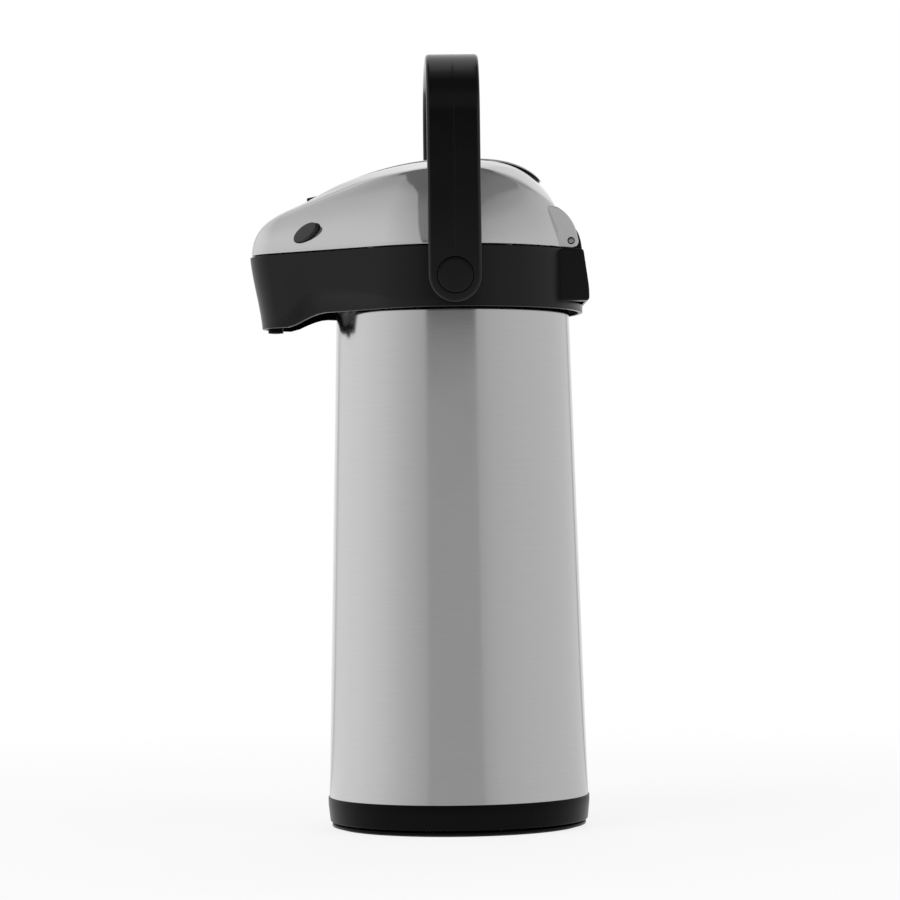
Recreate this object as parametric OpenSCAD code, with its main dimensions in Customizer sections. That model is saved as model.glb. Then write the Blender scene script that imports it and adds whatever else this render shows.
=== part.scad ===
// Pump jug: a vacuum jug with a lever pump in its hinged lid, a bail handle and a swivel foot.
// Lengths are in millimetres. The jug's axis is Z, its spout points to -X and the table is z = 0.

/* [Casing] */
// Radius of the casing at the base ring
casing_bottom_r = 73.7; // [71:0.1:76]
// Radius of the casing below its shoulder
casing_top_r = 66.7; // [64:0.1:69]
// Height of the casing's top edge above the table
casing_top_z = 291; // [280:0.5:330]
// Thickness of the casing's sheet
casing_wall = 0.9; // [0.6:0.1:1.4]
// Width of the rolled shoulder at the casing's top
shoulder_w = 2.5; // [2:0.5:5]
// Height of the rolled shoulder
shoulder_h = 6; // [3:0.5:7]

/* [Base] */
// Radius of the base ring at its top edge
base_r = 74.4; // [74:0.1:77]
// How far the base ring narrows towards its bottom
base_draft = 1.1; // [0:0.1:2]
// Height of the base ring's top edge above the table
base_top_z = 17.6; // [15:0.1:22]
// Height of the base ring's bottom face above the table
base_bottom_z = 3.6; // [3:0.1:5]
// Wall of the base ring
base_wall = 2.4; // [1.8:0.1:3]
// Height of the lip inside the casing
base_lip_h = 6; // [3:0.5:9]
// Radius of the screwed base cap
base_cap_r = 45.8; // [35:0.1:50]
// Height of the base cap's hub above the base ring's bottom face
base_cap_h = 9.4; // [7:0.1:11]

/* [Swivel foot] */
// Radius of the swivel foot
foot_r = 72.3; // [68:0.1:73]
// Height of the foot's top face above the table
foot_h = 2.6; // [2.2:0.1:3]
// Height of the foot's rim above the table
foot_lift = 0.9; // [0.5:0.1:1.2]
// Outer radius of the rubber ring under the foot
pad_r = 68.6; // [60:0.1:70]
// Width of the rubber ring
pad_w = 6.6; // [4:0.1:9]
// Radius of the swivel hub
hub_r = 10; // [7:0.1:14]
// Radius of the hub's retaining washer
washer_r = 14; // [12:0.1:18]
// Inner radius of the slip ring
slip_r = 52; // [49:0.5:55]
// Width of the slip ring
slip_w = 6; // [4:0.5:8]

/* [Glass liner] */
// Outer radius of the liner
liner_r = 60; // [54:0.5:61]
// Outer radius of the liner's neck
liner_neck_r = 28; // [24:0.5:30]
// Wall of each glass skin
glass_wall = 1.8; // [1.2:0.1:2.2]
// Gap between the two skins
vacuum_gap = 2.4; // [1.5:0.1:3]
// Height of the liner's bottom above the table
liner_bottom_z = 32; // [30:0.5:40]
// Radius of the liner's bottom corner
liner_corner_r = 30; // [20:0.5:40]
// Radius of the liner's shoulder
liner_shoulder_r = 36; // [25:0.5:40]
// Radius of the hollow under the liner's neck
liner_fillet_r = 14; // [8:0.5:18]

/* [Collar] */
// Radius of the collar's round part
collar_r = 74.3; // [73.8:0.1:76]
// Height of the collar
collar_h = 34.4; // [30:0.1:40]
// Wall of the collar
collar_wall = 2.3; // [2:0.1:3.2]
// Distance from the axis to the spout's tip
spout_tip = 115.5; // [105:0.5:125]
// Radius of the spout's nose in plan
spout_nose_r = 24; // [18:0.5:30]
// How far the nose falls back at its bottom
spout_fall_back = 6.6; // [0:0.1:9]
// Height of the spout's lowest edge below the collar's bottom
spout_drop = 6.7; // [4:0.1:8]
// Length of the arch behind the spout's foot
arch_len = 19; // [12:0.5:24]
// Length of the spout's foot, from its tip to the arch
spout_foot_len = 15.4; // [12:0.1:18]
// Height of the tucked-in band along the spout's flank
tuck_h = 12; // [6:0.5:16]
// Depth of the tucked-in band
tuck_depth = 4.5; // [0:0.1:6]
// Height of the deck below the collar's rim
deck_drop = 9.4; // [8:0.1:12]
// Thickness of the deck
deck_t = 2.5; // [2:0.1:3.5]
// Radius of the mouth in the deck
mouth_r = 26.5; // [24:0.1:28]

/* [Lid] */
// Height of the lid above its rim
lid_h = 54.6; // [48:0.1:62]
// Gap between the lid's rim and the collar's rim
lid_gap = 0.8; // [0.4:0.1:1.5]
// How far the lid's rim stands inside the collar's
lid_step = 0.9; // [0.5:0.1:1.5]
// Wall of the lid
lid_wall = 2.2; // [1.8:0.1:2.8]
// Distance from the axis to the lid's flat back
lid_back_x = 56; // [52:0.5:58]
// Distance from the axis to the centre of the crease's round end
crease_x = 8; // [0:0.5:10]
// Radius of the lid's crease in plan
crease_r = 60; // [56:0.5:62]
// Distance from the axis to the crease's front end
crease_tip = 92; // [88:0.5:96]
// Distance from the axis to the crease's back
crease_back_x = 58; // [54:0.5:59]
// Radius of the crease's nose in plan
crease_nose_r = 12; // [9:0.5:15]
// Height of the crease below the lid's top
crease_drop = 10.3; // [9:0.1:14]
// Fall of the crease from its highest point to its front end
crease_front_fall = 18.2; // [14:0.1:22]
// Fall of the crease from its highest point to the back
crease_back_fall = 20.9; // [16:0.1:26]
// Distance from the axis to the lid's highest point
apex_x = 5; // [0:0.5:10]

/* [Push plate] */
// Radius of the push plate's round end
plate_r = 33; // [28:0.5:34]
// Distance from the axis to the centre of the plate's round end
plate_x = 15; // [10:0.5:16]
// Distance from the axis to the plate's front tip
plate_tip = 75; // [70:0.5:76]
// Radius of the plate's front end in plan
plate_nose_r = 11; // [8:0.5:12]
// Thickness of the plate
plate_t = 2; // [1.5:0.1:2.5]
// Fall of the plate from its highest point to its front edge
plate_front_fall = 19.6; // [14:0.1:22]
// Fall of the plate from its highest point to its back edge
plate_back_fall = 10.3; // [8:0.1:13]
// Fall of the plate from its middle to its side edges
plate_side_fall = 3.3; // [2:0.1:5]
// Gap between the plate and the lid
plate_gap = 1; // [0.7:0.1:1.5]
// Depth of the plate's skirt
skirt_h = 5.4; // [4:0.1:6.5]
// Angle that the plate is pressed through
plate_travel = 14.7; // [8:0.1:15]
// Distance from the axis to the plate's hinge pin
plate_pin_x = 76; // [74:0.5:78]

/* [Pump] */
// Outer radius of the bellows
bellows_r = 28; // [22:0.5:30]
// Depth of a pleat
pleat_depth = 6; // [3:0.5:8]
// Number of pleats
pleats = 6; // [4:1:8]
// Thickness of the bellows' rubber
bellows_t = 1.1; // [0.8:0.1:1.4]
// Turns of the return spring
spring_turns = 6; // [4:1:8]
// Radius of the return spring
spring_r = 14; // [10:0.5:16]
// Radius of the spring's wire
wire_r = 1.1; // [0.8:0.1:1.4]

/* [Hinge] */
// Distance from the axis to the hinge pin
pin_x = 66.2; // [65:0.1:68]
// Height of the hinge pin above the lid's rim
pin_h = 3.8; // [3.5:0.1:4.5]
// Radius of the hinge pin
pin_r = 1.55; // [1.2:0.05:2]
// Width over the two ears
ear_span = 88; // [80:0.5:92]
// Thickness of an ear
ear_t = 8; // [6:0.5:10]
// Radius of an ear round the pin
ear_r = 4.3; // [4:0.1:4.8]
// Radius of an ear's back
ear_back_r = 23; // [21:0.5:24]
// Radius of the knuckle round the pin
knuckle_r = 9.2; // [8:0.1:9.4]
// Distance from the axis to the hinge block's back
block_back_x = 78.4; // [77:0.1:82]

/* [Handle] */
// Width over the handle's two legs
handle_span = 166; // [164:0.5:176]
// Width of the handle's strap
strap_w = 29.4; // [24:0.1:34]
// Thickness of the handle's strap
strap_t = 5.7; // [5:0.1:7]
// Height of the handle's top above its pivot
handle_h = 129.4; // [115:0.5:145]
// Height of the handle's pivot above the collar's bottom
pivot_h = 17; // [15:0.5:19]
// Radius of the handle's top corners, at the strap's middle
bend_r = 34; // [24:0.5:40]
// Rounding of the strap's edges
strap_edge_r = 2; // [1:0.1:2.4]
// Radius of the pivot's cap
cap_r = 9.9; // [8:0.1:11]

/* [Release buttons] */
// Long half-width of a release button
button_long = 8.7; // [7:0.1:9]
// Short half-width of a release button
button_short = 4.2; // [3.8:0.1:5]
// Distance from the axis to a button's face along the spout
button_x = 82.5; // [80:0.1:84]
// Distance from the middle to a button's face
button_y = 32.8; // [32:0.1:34]
// Height of a button's face above the lid's rim
button_h = 10.4; // [10:0.1:12]
// Length of a button
button_len = 6; // [5.5:0.1:6.2]
// Travel of a button
button_travel = 1.6; // [1:0.1:2]

/* [Hidden] */
$fn = 96;

overrun = 1; // how far a cut runs past the face that it opens
running = 0.08; // clearance round a turning pin
seat = 0.1; // clearance under a piece that rests on another
loose = 0.3; // clearance between pieces that move past each other
bite = 0.4; // how far a boss reaches into the wall that carries it

// Heights that everything above the casing is built on
rim_z = casing_top_z + collar_h;
lid_rim_z = rim_z + lid_gap;
lid_top_z = lid_rim_z + lid_h;
deck_z = rim_z - deck_drop;
pin_z = lid_rim_z + pin_h;
pivot_z = casing_top_z + pivot_h;

// Steps round an outline: its flat back, its round end, one flank and half its nose
back_steps = 3;
round_steps = 18;
flank_steps = 4;
nose_steps = 7;

function bound(u) = min(1, max(0, u));
function ease(u) = u * u * (3 - 2 * u);
function mix(a, b, u) = a + (b - a) * u;
function reversed(points) = [for (k = [len(points) - 1 : -1 : 0]) points[k]];

// An arc's points in order, from one angle to another
function arc(x, y, r, from, to, steps) =
    [for (k = [0 : steps]) let (a = mix(from, to, k / steps)) [x + r * cos(a), y + r * sin(a)]];

// Half an outline in plan, from the middle of its back to the tip of its nose: a round end and a nose,
// joined by the flank that touches both. With a back, it is cut off flat there.
function half_outline(big_x, big_r, nose_x, nose_r, back_x, backs) =
    let (
        turn = 90 + asin((big_r - nose_r) / (big_x - nose_x)),
        start = backs > 0 ? acos((back_x - big_x) / big_r) : 0,
        leave = [big_x + big_r * cos(turn), big_r * sin(turn)],
        meet = [nose_x + nose_r * cos(turn), nose_r * sin(turn)]
    )
    concat(
        backs > 0 ? [for (k = [0 : backs - 1]) [back_x, big_r * sin(start) * k / backs]] : [],
        [for (p = arc(big_x, 0, big_r, start, turn, round_steps)) p],
        [for (k = [1 : flank_steps - 1]) mix(leave, meet, k / flank_steps)],
        [for (p = arc(nose_x, 0, nose_r, turn, 180, nose_steps)) p]
    );

// The whole outline, anticlockwise from the middle of its back
function outline(big_x, big_r, tip, nose_r, back_x = 0, backs = 0) =
    let (half = half_outline(big_x, big_r, nose_r - tip, nose_r, back_x, backs))
    concat(half, [for (k = [len(half) - 2 : -1 : 1]) [half[k][0], -half[k][1]]]);

// Faces between rings of the same number of points, each ring outside or above the one before it. A
// wrapped skin closes on its first ring. Any other is closed by a fan round one more point at each end.
// A crossed skin has the other diagonal in its quads, so that it runs level with a skin that faces it.
function skin_faces(n, m, wrapped, crossed) = concat(
    [for (j = [0 : wrapped ? m - 1 : m - 2], i = [0 : n - 1], half = [0, 1])
        let (
            a = j * n + i,
            b = j * n + (i + 1) % n,
            c = ((j + 1) % m) * n + (i + 1) % n,
            d = ((j + 1) % m) * n + i
        )
        half == 0 ? [a, crossed ? d : c, b] : [crossed ? b : a, d, c]],
    wrapped ? [] : [for (i = [0 : n - 1]) [i, (i + 1) % n, n * m]],
    wrapped ? [] : [for (i = [0 : n - 1]) [(m - 1) * n + (i + 1) % n, (m - 1) * n + i, n * m + 1]]
);

module skin(rings, ends = [], crossed = false) {
    polyhedron(
        points = concat([for (ring = rings) each ring], ends),
        faces = skin_faces(len(rings[0]), len(rings), len(ends) == 0, crossed)
    );
}

// A profile drawn in X and Z, carried across the jug from one Y to another
module across(y0, y1) {
    translate([0, y1, 0]) rotate([90, 0, 0]) linear_extrude(height = y1 - y0) children();
}

// A rod across the jug
module rod(x, z, r, y0, y1) {
    translate([x, y1, z]) rotate([90, 0, 0]) cylinder(r = r, h = y1 - y0);
}

// A wire wound round Z
coil_steps = 16;
wire_sides = 6;
module coil(r, wire, turns, z0, z1) {
    count = turns * coil_steps;
    skin(
        [for (k = [0 : count])
            let (a = 360 * k / coil_steps, z = mix(z0, z1, k / count))
            [for (s = [0 : wire_sides - 1])
                let (b = 360 * s / wire_sides, reach = r + wire * cos(b))
                [reach * cos(a), reach * sin(a), z - wire * sin(b)]]],
        [[r, 0, z0], [r * cos(360 * turns), r * sin(360 * turns), z1]]
    );
}

// Casing and liner
casing_lip_w = 2;
shoulder_x = casing_top_r - shoulder_w;
shoulder_steps = 8;

// The shoulder's curve up to the lip, drawn in by a distance
function shoulder(d) = [for (p = arc(0, 0, 1, 0, 90, shoulder_steps))
    [shoulder_x + (shoulder_w - d) * p[0], casing_top_z - shoulder_h + (shoulder_h - d) * p[1]]];

module outer_casing() {
    color("silver") rotate_extrude() polygon(concat(
        [[casing_bottom_r, base_top_z]],
        shoulder(0),
        [[shoulder_x - casing_lip_w, casing_top_z], [shoulder_x - casing_lip_w, casing_top_z - casing_wall]],
        reversed(shoulder(casing_wall)),
        [[casing_bottom_r - casing_wall, base_top_z]]
    ));
}

gasket_h = 3.5;
gasket_skirt_h = 3.5;
gasket_skirt_t = 1.5;
neck_tube_wall = 3;
neck_tube_r = 27;
neck_tube_h = 10.5;
liner_seal_h = 3;
liner_fillet_share = 0.455;
neck_tube_z = deck_z - neck_tube_h - deck_t;
liner_top_z = neck_tube_z - gasket_h;
liner_neck_in = glass_wall * 2 + vacuum_gap;
liner_fillet_z = liner_top_z - liner_fillet_share * liner_neck_r;
liner_steps = 8;

// The liner's side, from the middle of its bottom up to its neck, drawn in by a distance
function liner_side(d) =
    let (
        reach = liner_shoulder_r + liner_fillet_r,
        over = liner_neck_r + liner_fillet_r - (liner_r - liner_shoulder_r),
        lean = acos(over / reach),
        shoulder_z = liner_fillet_z - reach * sin(lean)
    )
    concat(
        [[0, liner_bottom_z + d]],
        arc(liner_r - liner_corner_r, liner_bottom_z + liner_corner_r, liner_corner_r - d, -90, 0,
            liner_steps),
        arc(liner_r - liner_shoulder_r, shoulder_z, liner_shoulder_r - d, 0, lean, liner_steps),
        arc(liner_neck_r + liner_fillet_r, liner_fillet_z, liner_fillet_r + d, 180 + lean, 180,
            liner_steps)
    );

module glass_liner() {
    color("lightsteelblue") difference() {
        rotate_extrude() polygon(concat(
            liner_side(0),
            [[liner_neck_r, liner_top_z], [liner_neck_r - liner_neck_in, liner_top_z]],
            reversed(liner_side(liner_neck_in))
        ));
        rotate_extrude() polygon(concat(
            liner_side(glass_wall),
            [[liner_neck_r - glass_wall, liner_top_z - liner_seal_h],
                [liner_neck_r - liner_neck_in + glass_wall, liner_top_z - liner_seal_h]],
            reversed(liner_side(liner_neck_in - glass_wall))
        ));
    }
}

base_cap_top_z = base_bottom_z + base_cap_h;
cushion_inset = 0.3;
cushion_r = base_cap_r - cushion_inset;
cushion_in_r = 20;
module liner_cushion() {
    corner_x = liner_r - liner_corner_r;
    corner_z = liner_bottom_z + liner_corner_r;
    hold_r = liner_corner_r + seat;
    rise = acos((cushion_r - corner_x) / hold_r);
    color("dimgray") rotate_extrude() polygon(concat(
        [[cushion_in_r, base_cap_top_z], [cushion_r, base_cap_top_z]],
        arc(corner_x, corner_z, hold_r, -rise, -90, liner_steps),
        [[corner_x, liner_bottom_z], [cushion_in_r, liner_bottom_z]]
    ));
}

module liner_gasket() {
    skirt_r = liner_neck_r + seat;
    color("dimgray") rotate_extrude() polygon([
        [liner_neck_r - liner_neck_in - seat, liner_top_z],
        [skirt_r, liner_top_z],
        [skirt_r, liner_top_z - gasket_skirt_h],
        [skirt_r + gasket_skirt_t, liner_top_z - gasket_skirt_h],
        [skirt_r + gasket_skirt_t, neck_tube_z],
        [liner_neck_r - liner_neck_in - seat, neck_tube_z]
    ]);
}

// Base and swivel foot
base_draft_h = 10.4;
base_floor_t = 2.5;
base_hub_wall = 2.5;
base_hub_h = 12.4;
base_lip_r = casing_bottom_r - casing_wall - loose;
cap_fit = 0.2;
module base_ring() {
    floor_z = base_bottom_z + base_floor_t;
    hub_in = base_cap_r + cap_fit;
    color("black") rotate_extrude() polygon([
        [hub_in, base_bottom_z],
        [base_r - base_draft, base_bottom_z],
        [base_r, base_bottom_z + base_draft_h],
        [base_r, base_top_z],
        [base_lip_r, base_top_z],
        [base_lip_r, base_top_z + base_lip_h],
        [base_lip_r - base_wall, base_top_z + base_lip_h],
        [base_lip_r - base_wall, floor_z],
        [hub_in + base_hub_wall, floor_z],
        [hub_in + base_hub_wall, base_bottom_z + base_hub_h],
        [hub_in, base_bottom_z + base_hub_h]
    ]);
}

cap_floor_t = 2.4;
cap_lid_t = 2;
cap_wall = 5.8;
cap_floor_z = base_bottom_z + cap_floor_t;
module base_cap() {
    color("black") rotate_extrude() polygon([
        [hub_r + running, base_bottom_z],
        [base_cap_r, base_bottom_z],
        [base_cap_r, base_cap_top_z],
        [0, base_cap_top_z],
        [0, base_cap_top_z - cap_lid_t],
        [base_cap_r - cap_wall, base_cap_top_z - cap_lid_t],
        [base_cap_r - cap_wall, cap_floor_z],
        [hub_r + running, cap_floor_z]
    ]);
}

foot_boss_r = 13;
foot_boss_slope = 1.5;
foot_edge = 0.6;
pad_h = 1.4;
foot_screw_r = 2;
washer_t = 1.2;
screw_head_r = 4;
screw_head_h = 2.2;
hub_top_z = cap_floor_z + seat;
screw_tip_z = foot_h;
module swivel_foot() {
    color("black") difference() {
        rotate_extrude() polygon([
            [0, 0],
            [foot_boss_r, 0],
            [foot_boss_r + foot_boss_slope, foot_lift],
            [pad_r - pad_w, foot_lift],
            [pad_r - pad_w, pad_h],
            [pad_r, pad_h],
            [pad_r, foot_lift],
            [foot_r - foot_edge, foot_lift],
            [foot_r, foot_lift + foot_edge],
            [foot_r, foot_h - foot_edge],
            [foot_r - foot_edge, foot_h],
            [hub_r, foot_h],
            [hub_r, hub_top_z],
            [0, hub_top_z]
        ]);
        translate([0, 0, screw_tip_z]) cylinder(r = foot_screw_r, h = hub_top_z);
    }
}

module foot_pad() {
    color("dimgray") rotate_extrude() translate([pad_r - pad_w, 0]) square([pad_w, pad_h]);
}

module slip_ring() {
    color("white") rotate_extrude() translate([slip_r, foot_h])
        square([slip_w, base_bottom_z - foot_h - seat]);
}

module swivel_washer() {
    color("silver") difference() {
        translate([0, 0, hub_top_z]) cylinder(r = washer_r, h = washer_t);
        translate([0, 0, hub_top_z - overrun]) cylinder(r = foot_screw_r, h = washer_t + 2 * overrun);
    }
}

module swivel_screw() {
    color("silver") {
        translate([0, 0, screw_tip_z]) cylinder(r = foot_screw_r, h = hub_top_z + washer_t - screw_tip_z);
        translate([0, 0, hub_top_z + washer_t]) cylinder(r = screw_head_r, h = screw_head_h);
    }
}

// Collar with its spout and hinge block
foot_z = casing_top_z - spout_drop;
spout_foot_x = spout_fall_back + spout_foot_len - spout_tip;
flange_t = 2.5;
flange_r = 72.5;
tuck_from = 5;
tuck_full = 74;
tuck_end = 80;
tuck_fade = 25;
edge_band_h = 3;
tuck_half_share = 0.6;

// Height of the wall's lower edge: the casing's top, and in front an arch down to the spout's foot
function edge_z(x) = foot_z + spout_drop * sin(90 * bound((x - spout_foot_x) / arch_len));
// How far back the nose stands at a height
function nose_tip(z) =
    let (u = bound((rim_z - z) / (rim_z - foot_z)))
    spout_tip - spout_fall_back * (u + ease(u)) / 2;
function tuck(x) =
    ease(bound((-x - tuck_from) / (tuck_full - tuck_from))) * (1 - ease(bound((-x - tuck_end) / tuck_fade)));

// A ring of the wall, drawn in by a distance. The first share climbs the tucked-in band and the second
// climbs from there to the rim.
function wall_ring(low_share, high_share, d) =
    let (
        nose_z = foot_z + edge_band_h * low_share + (rim_z - foot_z - edge_band_h) * high_share,
        tip = nose_tip(nose_z),
        face = outline(0, collar_r, tip, spout_nose_r),
        back = outline(0, collar_r - collar_wall, tip - collar_wall, spout_nose_r - collar_wall),
        fold = low_share <= tuck_half_share
            ? mix(1, tuck_half_share, low_share / tuck_half_share)
            : tuck_half_share * (1 - low_share) / (1 - tuck_half_share)
    )
    [for (i = [0 : len(face) - 1])
        let (
            x = face[i][0],
            low = edge_z(x),
            band = mix(edge_band_h, tuck_h, tuck(x)),
            inset = (d + tuck_depth * tuck(x) * fold) / collar_wall
        )
        [mix(face[i][0], back[i][0], inset), mix(face[i][1], back[i][1], inset),
            low + band * low_share + (rim_z - low - band) * high_share]];
function flat(ring) = [for (p = ring) [p[0], p[1]]];

floor_gap = 0.4;
floor_t = 2.4;
floor_steps = 16;
block_front_x = 50;
block_step = 0.3;
block_top_z = rim_z - block_step;
block_low_h = 2.5;
block_chamfer = 2.1;
block_waist_h = 10.6;
block_shoulder_x = 75.3;
knuckle_w = 71;
knuckle_back_x = 73;
knuckle_back_h = 7.9;
pocket_front_x = 60;
pocket_wall = 4;
pocket_back_wall = 4.4;
boss_r = 11;
stud_r = 4;
stud_shoulder_r = 6;
stud_depth = 7;
boss_depth = 4.3;
pipe_r = 4.2;
pipe_in_r = 2.75;
pipe_lift = 0.2;
leg_r = 5;
nozzle_r = 4.35;
nozzle_fit = 0.05;
nozzle_x = -(spout_tip - spout_fall_back - collar_wall - loose - leg_r);
pipe_z = neck_tube_z + pipe_r + pipe_lift;
strap_gap = 0.3;
boss_face_y = handle_span / 2 - strap_t - strap_gap;

// The hinge block's profile from its bottom up to its waist
block_back = [
    [block_front_x, casing_top_z],
    [block_back_x - block_chamfer, casing_top_z],
    [block_back_x - seat, casing_top_z + block_low_h],
    [block_back_x, casing_top_z + block_waist_h]
];

module knuckle() {
    across(-knuckle_w / 2, knuckle_w / 2) polygon(concat(
        block_back,
        [[block_shoulder_x, pin_z + overrun], [knuckle_back_x, pin_z + knuckle_back_h]],
        arc(pin_x, pin_z, knuckle_r, 68, 180, 10),
        [[pin_x - knuckle_r, block_top_z - overrun], [block_front_x, block_top_z - overrun]]
    ));
}

module collar() {
    color([0.17, 0.16, 0.16]) difference() {
        union() {
            skin([
                wall_ring(0, 0, 0),
                wall_ring(tuck_half_share, 0, 0),
                wall_ring(1, 0, 0),
                wall_ring(1, 1 / 4, 0),
                wall_ring(1, 1 / 2, 0),
                wall_ring(1, 3 / 4, 0),
                wall_ring(1, 1, 0),
                wall_ring(1, 1, collar_wall),
                wall_ring(1, 1 / 2, collar_wall),
                wall_ring(1, 0, collar_wall),
                wall_ring(tuck_half_share, 0, collar_wall),
                wall_ring(0, 0, collar_wall)
            ]);
            // deck with the neck tube under its mouth
            difference() {
                union() {
                    translate([0, 0, deck_z - deck_t]) linear_extrude(height = deck_t)
                        polygon(flat(wall_ring(1, 1 / 2, collar_wall / 2)));
                    translate([0, 0, neck_tube_z])
                        cylinder(r = neck_tube_r + neck_tube_wall, h = deck_z - neck_tube_z);
                }
                translate([0, 0, deck_z - deck_t - overrun]) cylinder(r = mouth_r, h = deck_t + 2 * overrun);
                translate([0, 0, neck_tube_z - overrun])
                    cylinder(r = neck_tube_r, h = neck_tube_h + overrun);
            }
            // flange on the casing's top
            translate([0, 0, casing_top_z]) difference() {
                cylinder(r = flange_r, h = flange_t);
                translate([0, 0, -overrun])
                    cylinder(r = shoulder_x - casing_lip_w, h = flange_t + 2 * overrun);
            }
            // floor of the spout
            difference() {
                intersection() {
                    across(-collar_r, collar_r) polygon(concat(
                        [for (k = [0 : floor_steps])
                            let (x = mix(-spout_tip, spout_foot_x + arch_len, k / floor_steps))
                            [x, edge_z(x) + floor_gap]],
                        [[-shoulder_x, casing_top_z + floor_gap],
                            [-shoulder_x, casing_top_z + floor_gap + floor_t]],
                        [for (k = [floor_steps : -1 : 0])
                            let (x = mix(-spout_tip, spout_foot_x + arch_len, k / floor_steps))
                            [x, edge_z(x) + floor_gap + floor_t]]
                    ));
                    translate([0, 0, foot_z - overrun]) linear_extrude(height = rim_z - foot_z)
                        polygon(flat(wall_ring(0, 0, collar_wall / 2)));
                }
                translate([nozzle_x, 0, foot_z - overrun])
                    cylinder(r = nozzle_r + nozzle_fit, h = rim_z - foot_z);
            }
            // hinge block
            across(-ear_span / 2, ear_span / 2) polygon(concat(
                block_back,
                [[block_shoulder_x + loose, block_top_z], [block_front_x, block_top_z]]
            ));
            knuckle();
            // bosses that the handle turns on
            for (side = [-1, 1])
                rod(0, pivot_z, boss_r, side > 0 ? collar_r - boss_depth : -boss_face_y,
                    side > 0 ? boss_face_y : boss_depth - collar_r);
        }
        rod(pin_x, pin_z, pin_r, -ear_span / 2, ear_span / 2);
        rod(0, pivot_z, stud_r, boss_face_y - stud_depth - overrun, boss_face_y + overrun);
        rod(0, pivot_z, stud_r, -boss_face_y - overrun, stud_depth + overrun - boss_face_y);
        // hollow of the hinge block
        across(pocket_wall - ear_span / 2, ear_span / 2 - pocket_wall) polygon([
            [pocket_front_x, casing_top_z + flange_t],
            [block_back_x - pocket_back_wall, casing_top_z + flange_t],
            [block_shoulder_x - pocket_back_wall, deck_z],
            [pocket_front_x, deck_z]
        ]);
        // way of the outlet pipe through the neck tube
        translate([-neck_tube_r - neck_tube_wall - overrun, 0, pipe_z]) rotate([0, 90, 0])
            cylinder(r = pipe_r + nozzle_fit, h = neck_tube_wall + 2 * overrun);
    }
}

pin_recess = 0.5;
module hinge_pin() {
    color("silver") rod(pin_x, pin_z, pin_r, pin_recess - ear_span / 2, ear_span / 2 - pin_recess);
}

// Outlet
nozzle_low = 2.2;
nozzle_in_r = 2.6;
nozzle_top_h = 14;
nozzle_flange_t = 2;
nozzle_flange_z = foot_z + floor_gap + floor_t + seat;
module spout_nozzle() {
    color("black") translate([nozzle_x, 0, 0]) difference() {
        union() {
            translate([0, 0, foot_z - nozzle_low]) cylinder(r = nozzle_r, h = nozzle_low + nozzle_top_h);
            translate([0, 0, nozzle_flange_z]) cylinder(r = leg_r, h = nozzle_flange_t);
        }
        translate([0, 0, foot_z - nozzle_low - overrun])
            cylinder(r = nozzle_in_r, h = nozzle_low + nozzle_top_h + 2 * overrun);
    }
}

elbow_gap = 0.1;
elbow_end_x = neck_tube_r - loose;
module outlet_pipe() {
    leg_z = nozzle_flange_z + nozzle_flange_t;
    start = elbow_end_x + elbow_gap;
    color("gainsboro") difference() {
        union() {
            translate([nozzle_x, 0, pipe_z]) rotate([0, 90, 0]) cylinder(r = pipe_r, h = -nozzle_x - start);
            translate([nozzle_x, 0, leg_z]) cylinder(r = leg_r, h = pipe_z - leg_z);
            translate([nozzle_x, 0, pipe_z]) sphere(r = leg_r);
        }
        translate([nozzle_x, 0, pipe_z]) rotate([0, 90, 0]) cylinder(r = pipe_in_r, h = -nozzle_x);
        translate([nozzle_x, 0, leg_z - overrun]) cylinder(r = pipe_in_r, h = pipe_z - leg_z + overrun);
        translate([nozzle_x, 0, leg_z - overrun])
            cylinder(r = nozzle_r + nozzle_fit, h = foot_z + nozzle_top_h + seat + overrun - leg_z);
    }
}

seal_t = 1.6;
seal_w = 1.5;
module outlet_seal() {
    at = neck_tube_r + neck_tube_wall + seat + seal_t;
    color("dimgray") translate([-at, 0, pipe_z]) rotate([0, 90, 0]) difference() {
        cylinder(r = pipe_r + seal_w, h = seal_t);
        translate([0, 0, -overrun]) cylinder(r = pipe_r, h = seal_t + 2 * overrun);
    }
}

tube_r = 3.9;
tube_in_r = 2.75;
tube_fit = 0.05;
tube_foot_gap = 6;
tube_socket_h = 5.5;
seat_h = 0.5;
elbow_r = 6.2;
elbow_h = 17;
chamber_r = 4.6;
chamber_h = 9;
spider_h = 2;
spider_w = 3;
spider_in_r = 22.3;
spider_out_r = 25.5;
ball_r = 3.2;
elbow_bottom_z = neck_tube_z - tube_socket_h - seat_h;
tube_top_z = elbow_bottom_z + tube_socket_h;
chamber_z = tube_top_z + seat_h;
spider_z = neck_tube_z + seat;
module tube_elbow() {
    color("gainsboro") difference() {
        union() {
            translate([0, 0, elbow_bottom_z]) cylinder(r = elbow_r, h = elbow_h);
            translate([-elbow_end_x, 0, pipe_z]) rotate([0, 90, 0]) cylinder(r = pipe_r, h = elbow_end_x);
            translate([0, 0, spider_z]) difference() {
                cylinder(r = spider_out_r, h = spider_h);
                translate([0, 0, -overrun]) cylinder(r = spider_in_r, h = spider_h + 2 * overrun);
            }
            for (a = [75, -75, 180])
                rotate([0, 0, a]) translate([0, -spider_w / 2, spider_z])
                    cube([spider_in_r + loose, spider_w, spider_h]);
        }
        translate([0, 0, elbow_bottom_z - overrun])
            cylinder(r = tube_r + tube_fit, h = tube_socket_h + overrun);
        translate([0, 0, elbow_bottom_z]) cylinder(r = tube_in_r, h = elbow_h / 2);
        translate([0, 0, chamber_z]) cylinder(r = chamber_r, h = chamber_h);
        translate([-elbow_end_x - overrun, 0, pipe_z]) rotate([0, 90, 0])
            cylinder(r = pipe_in_r, h = elbow_end_x + overrun);
    }
}

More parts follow.
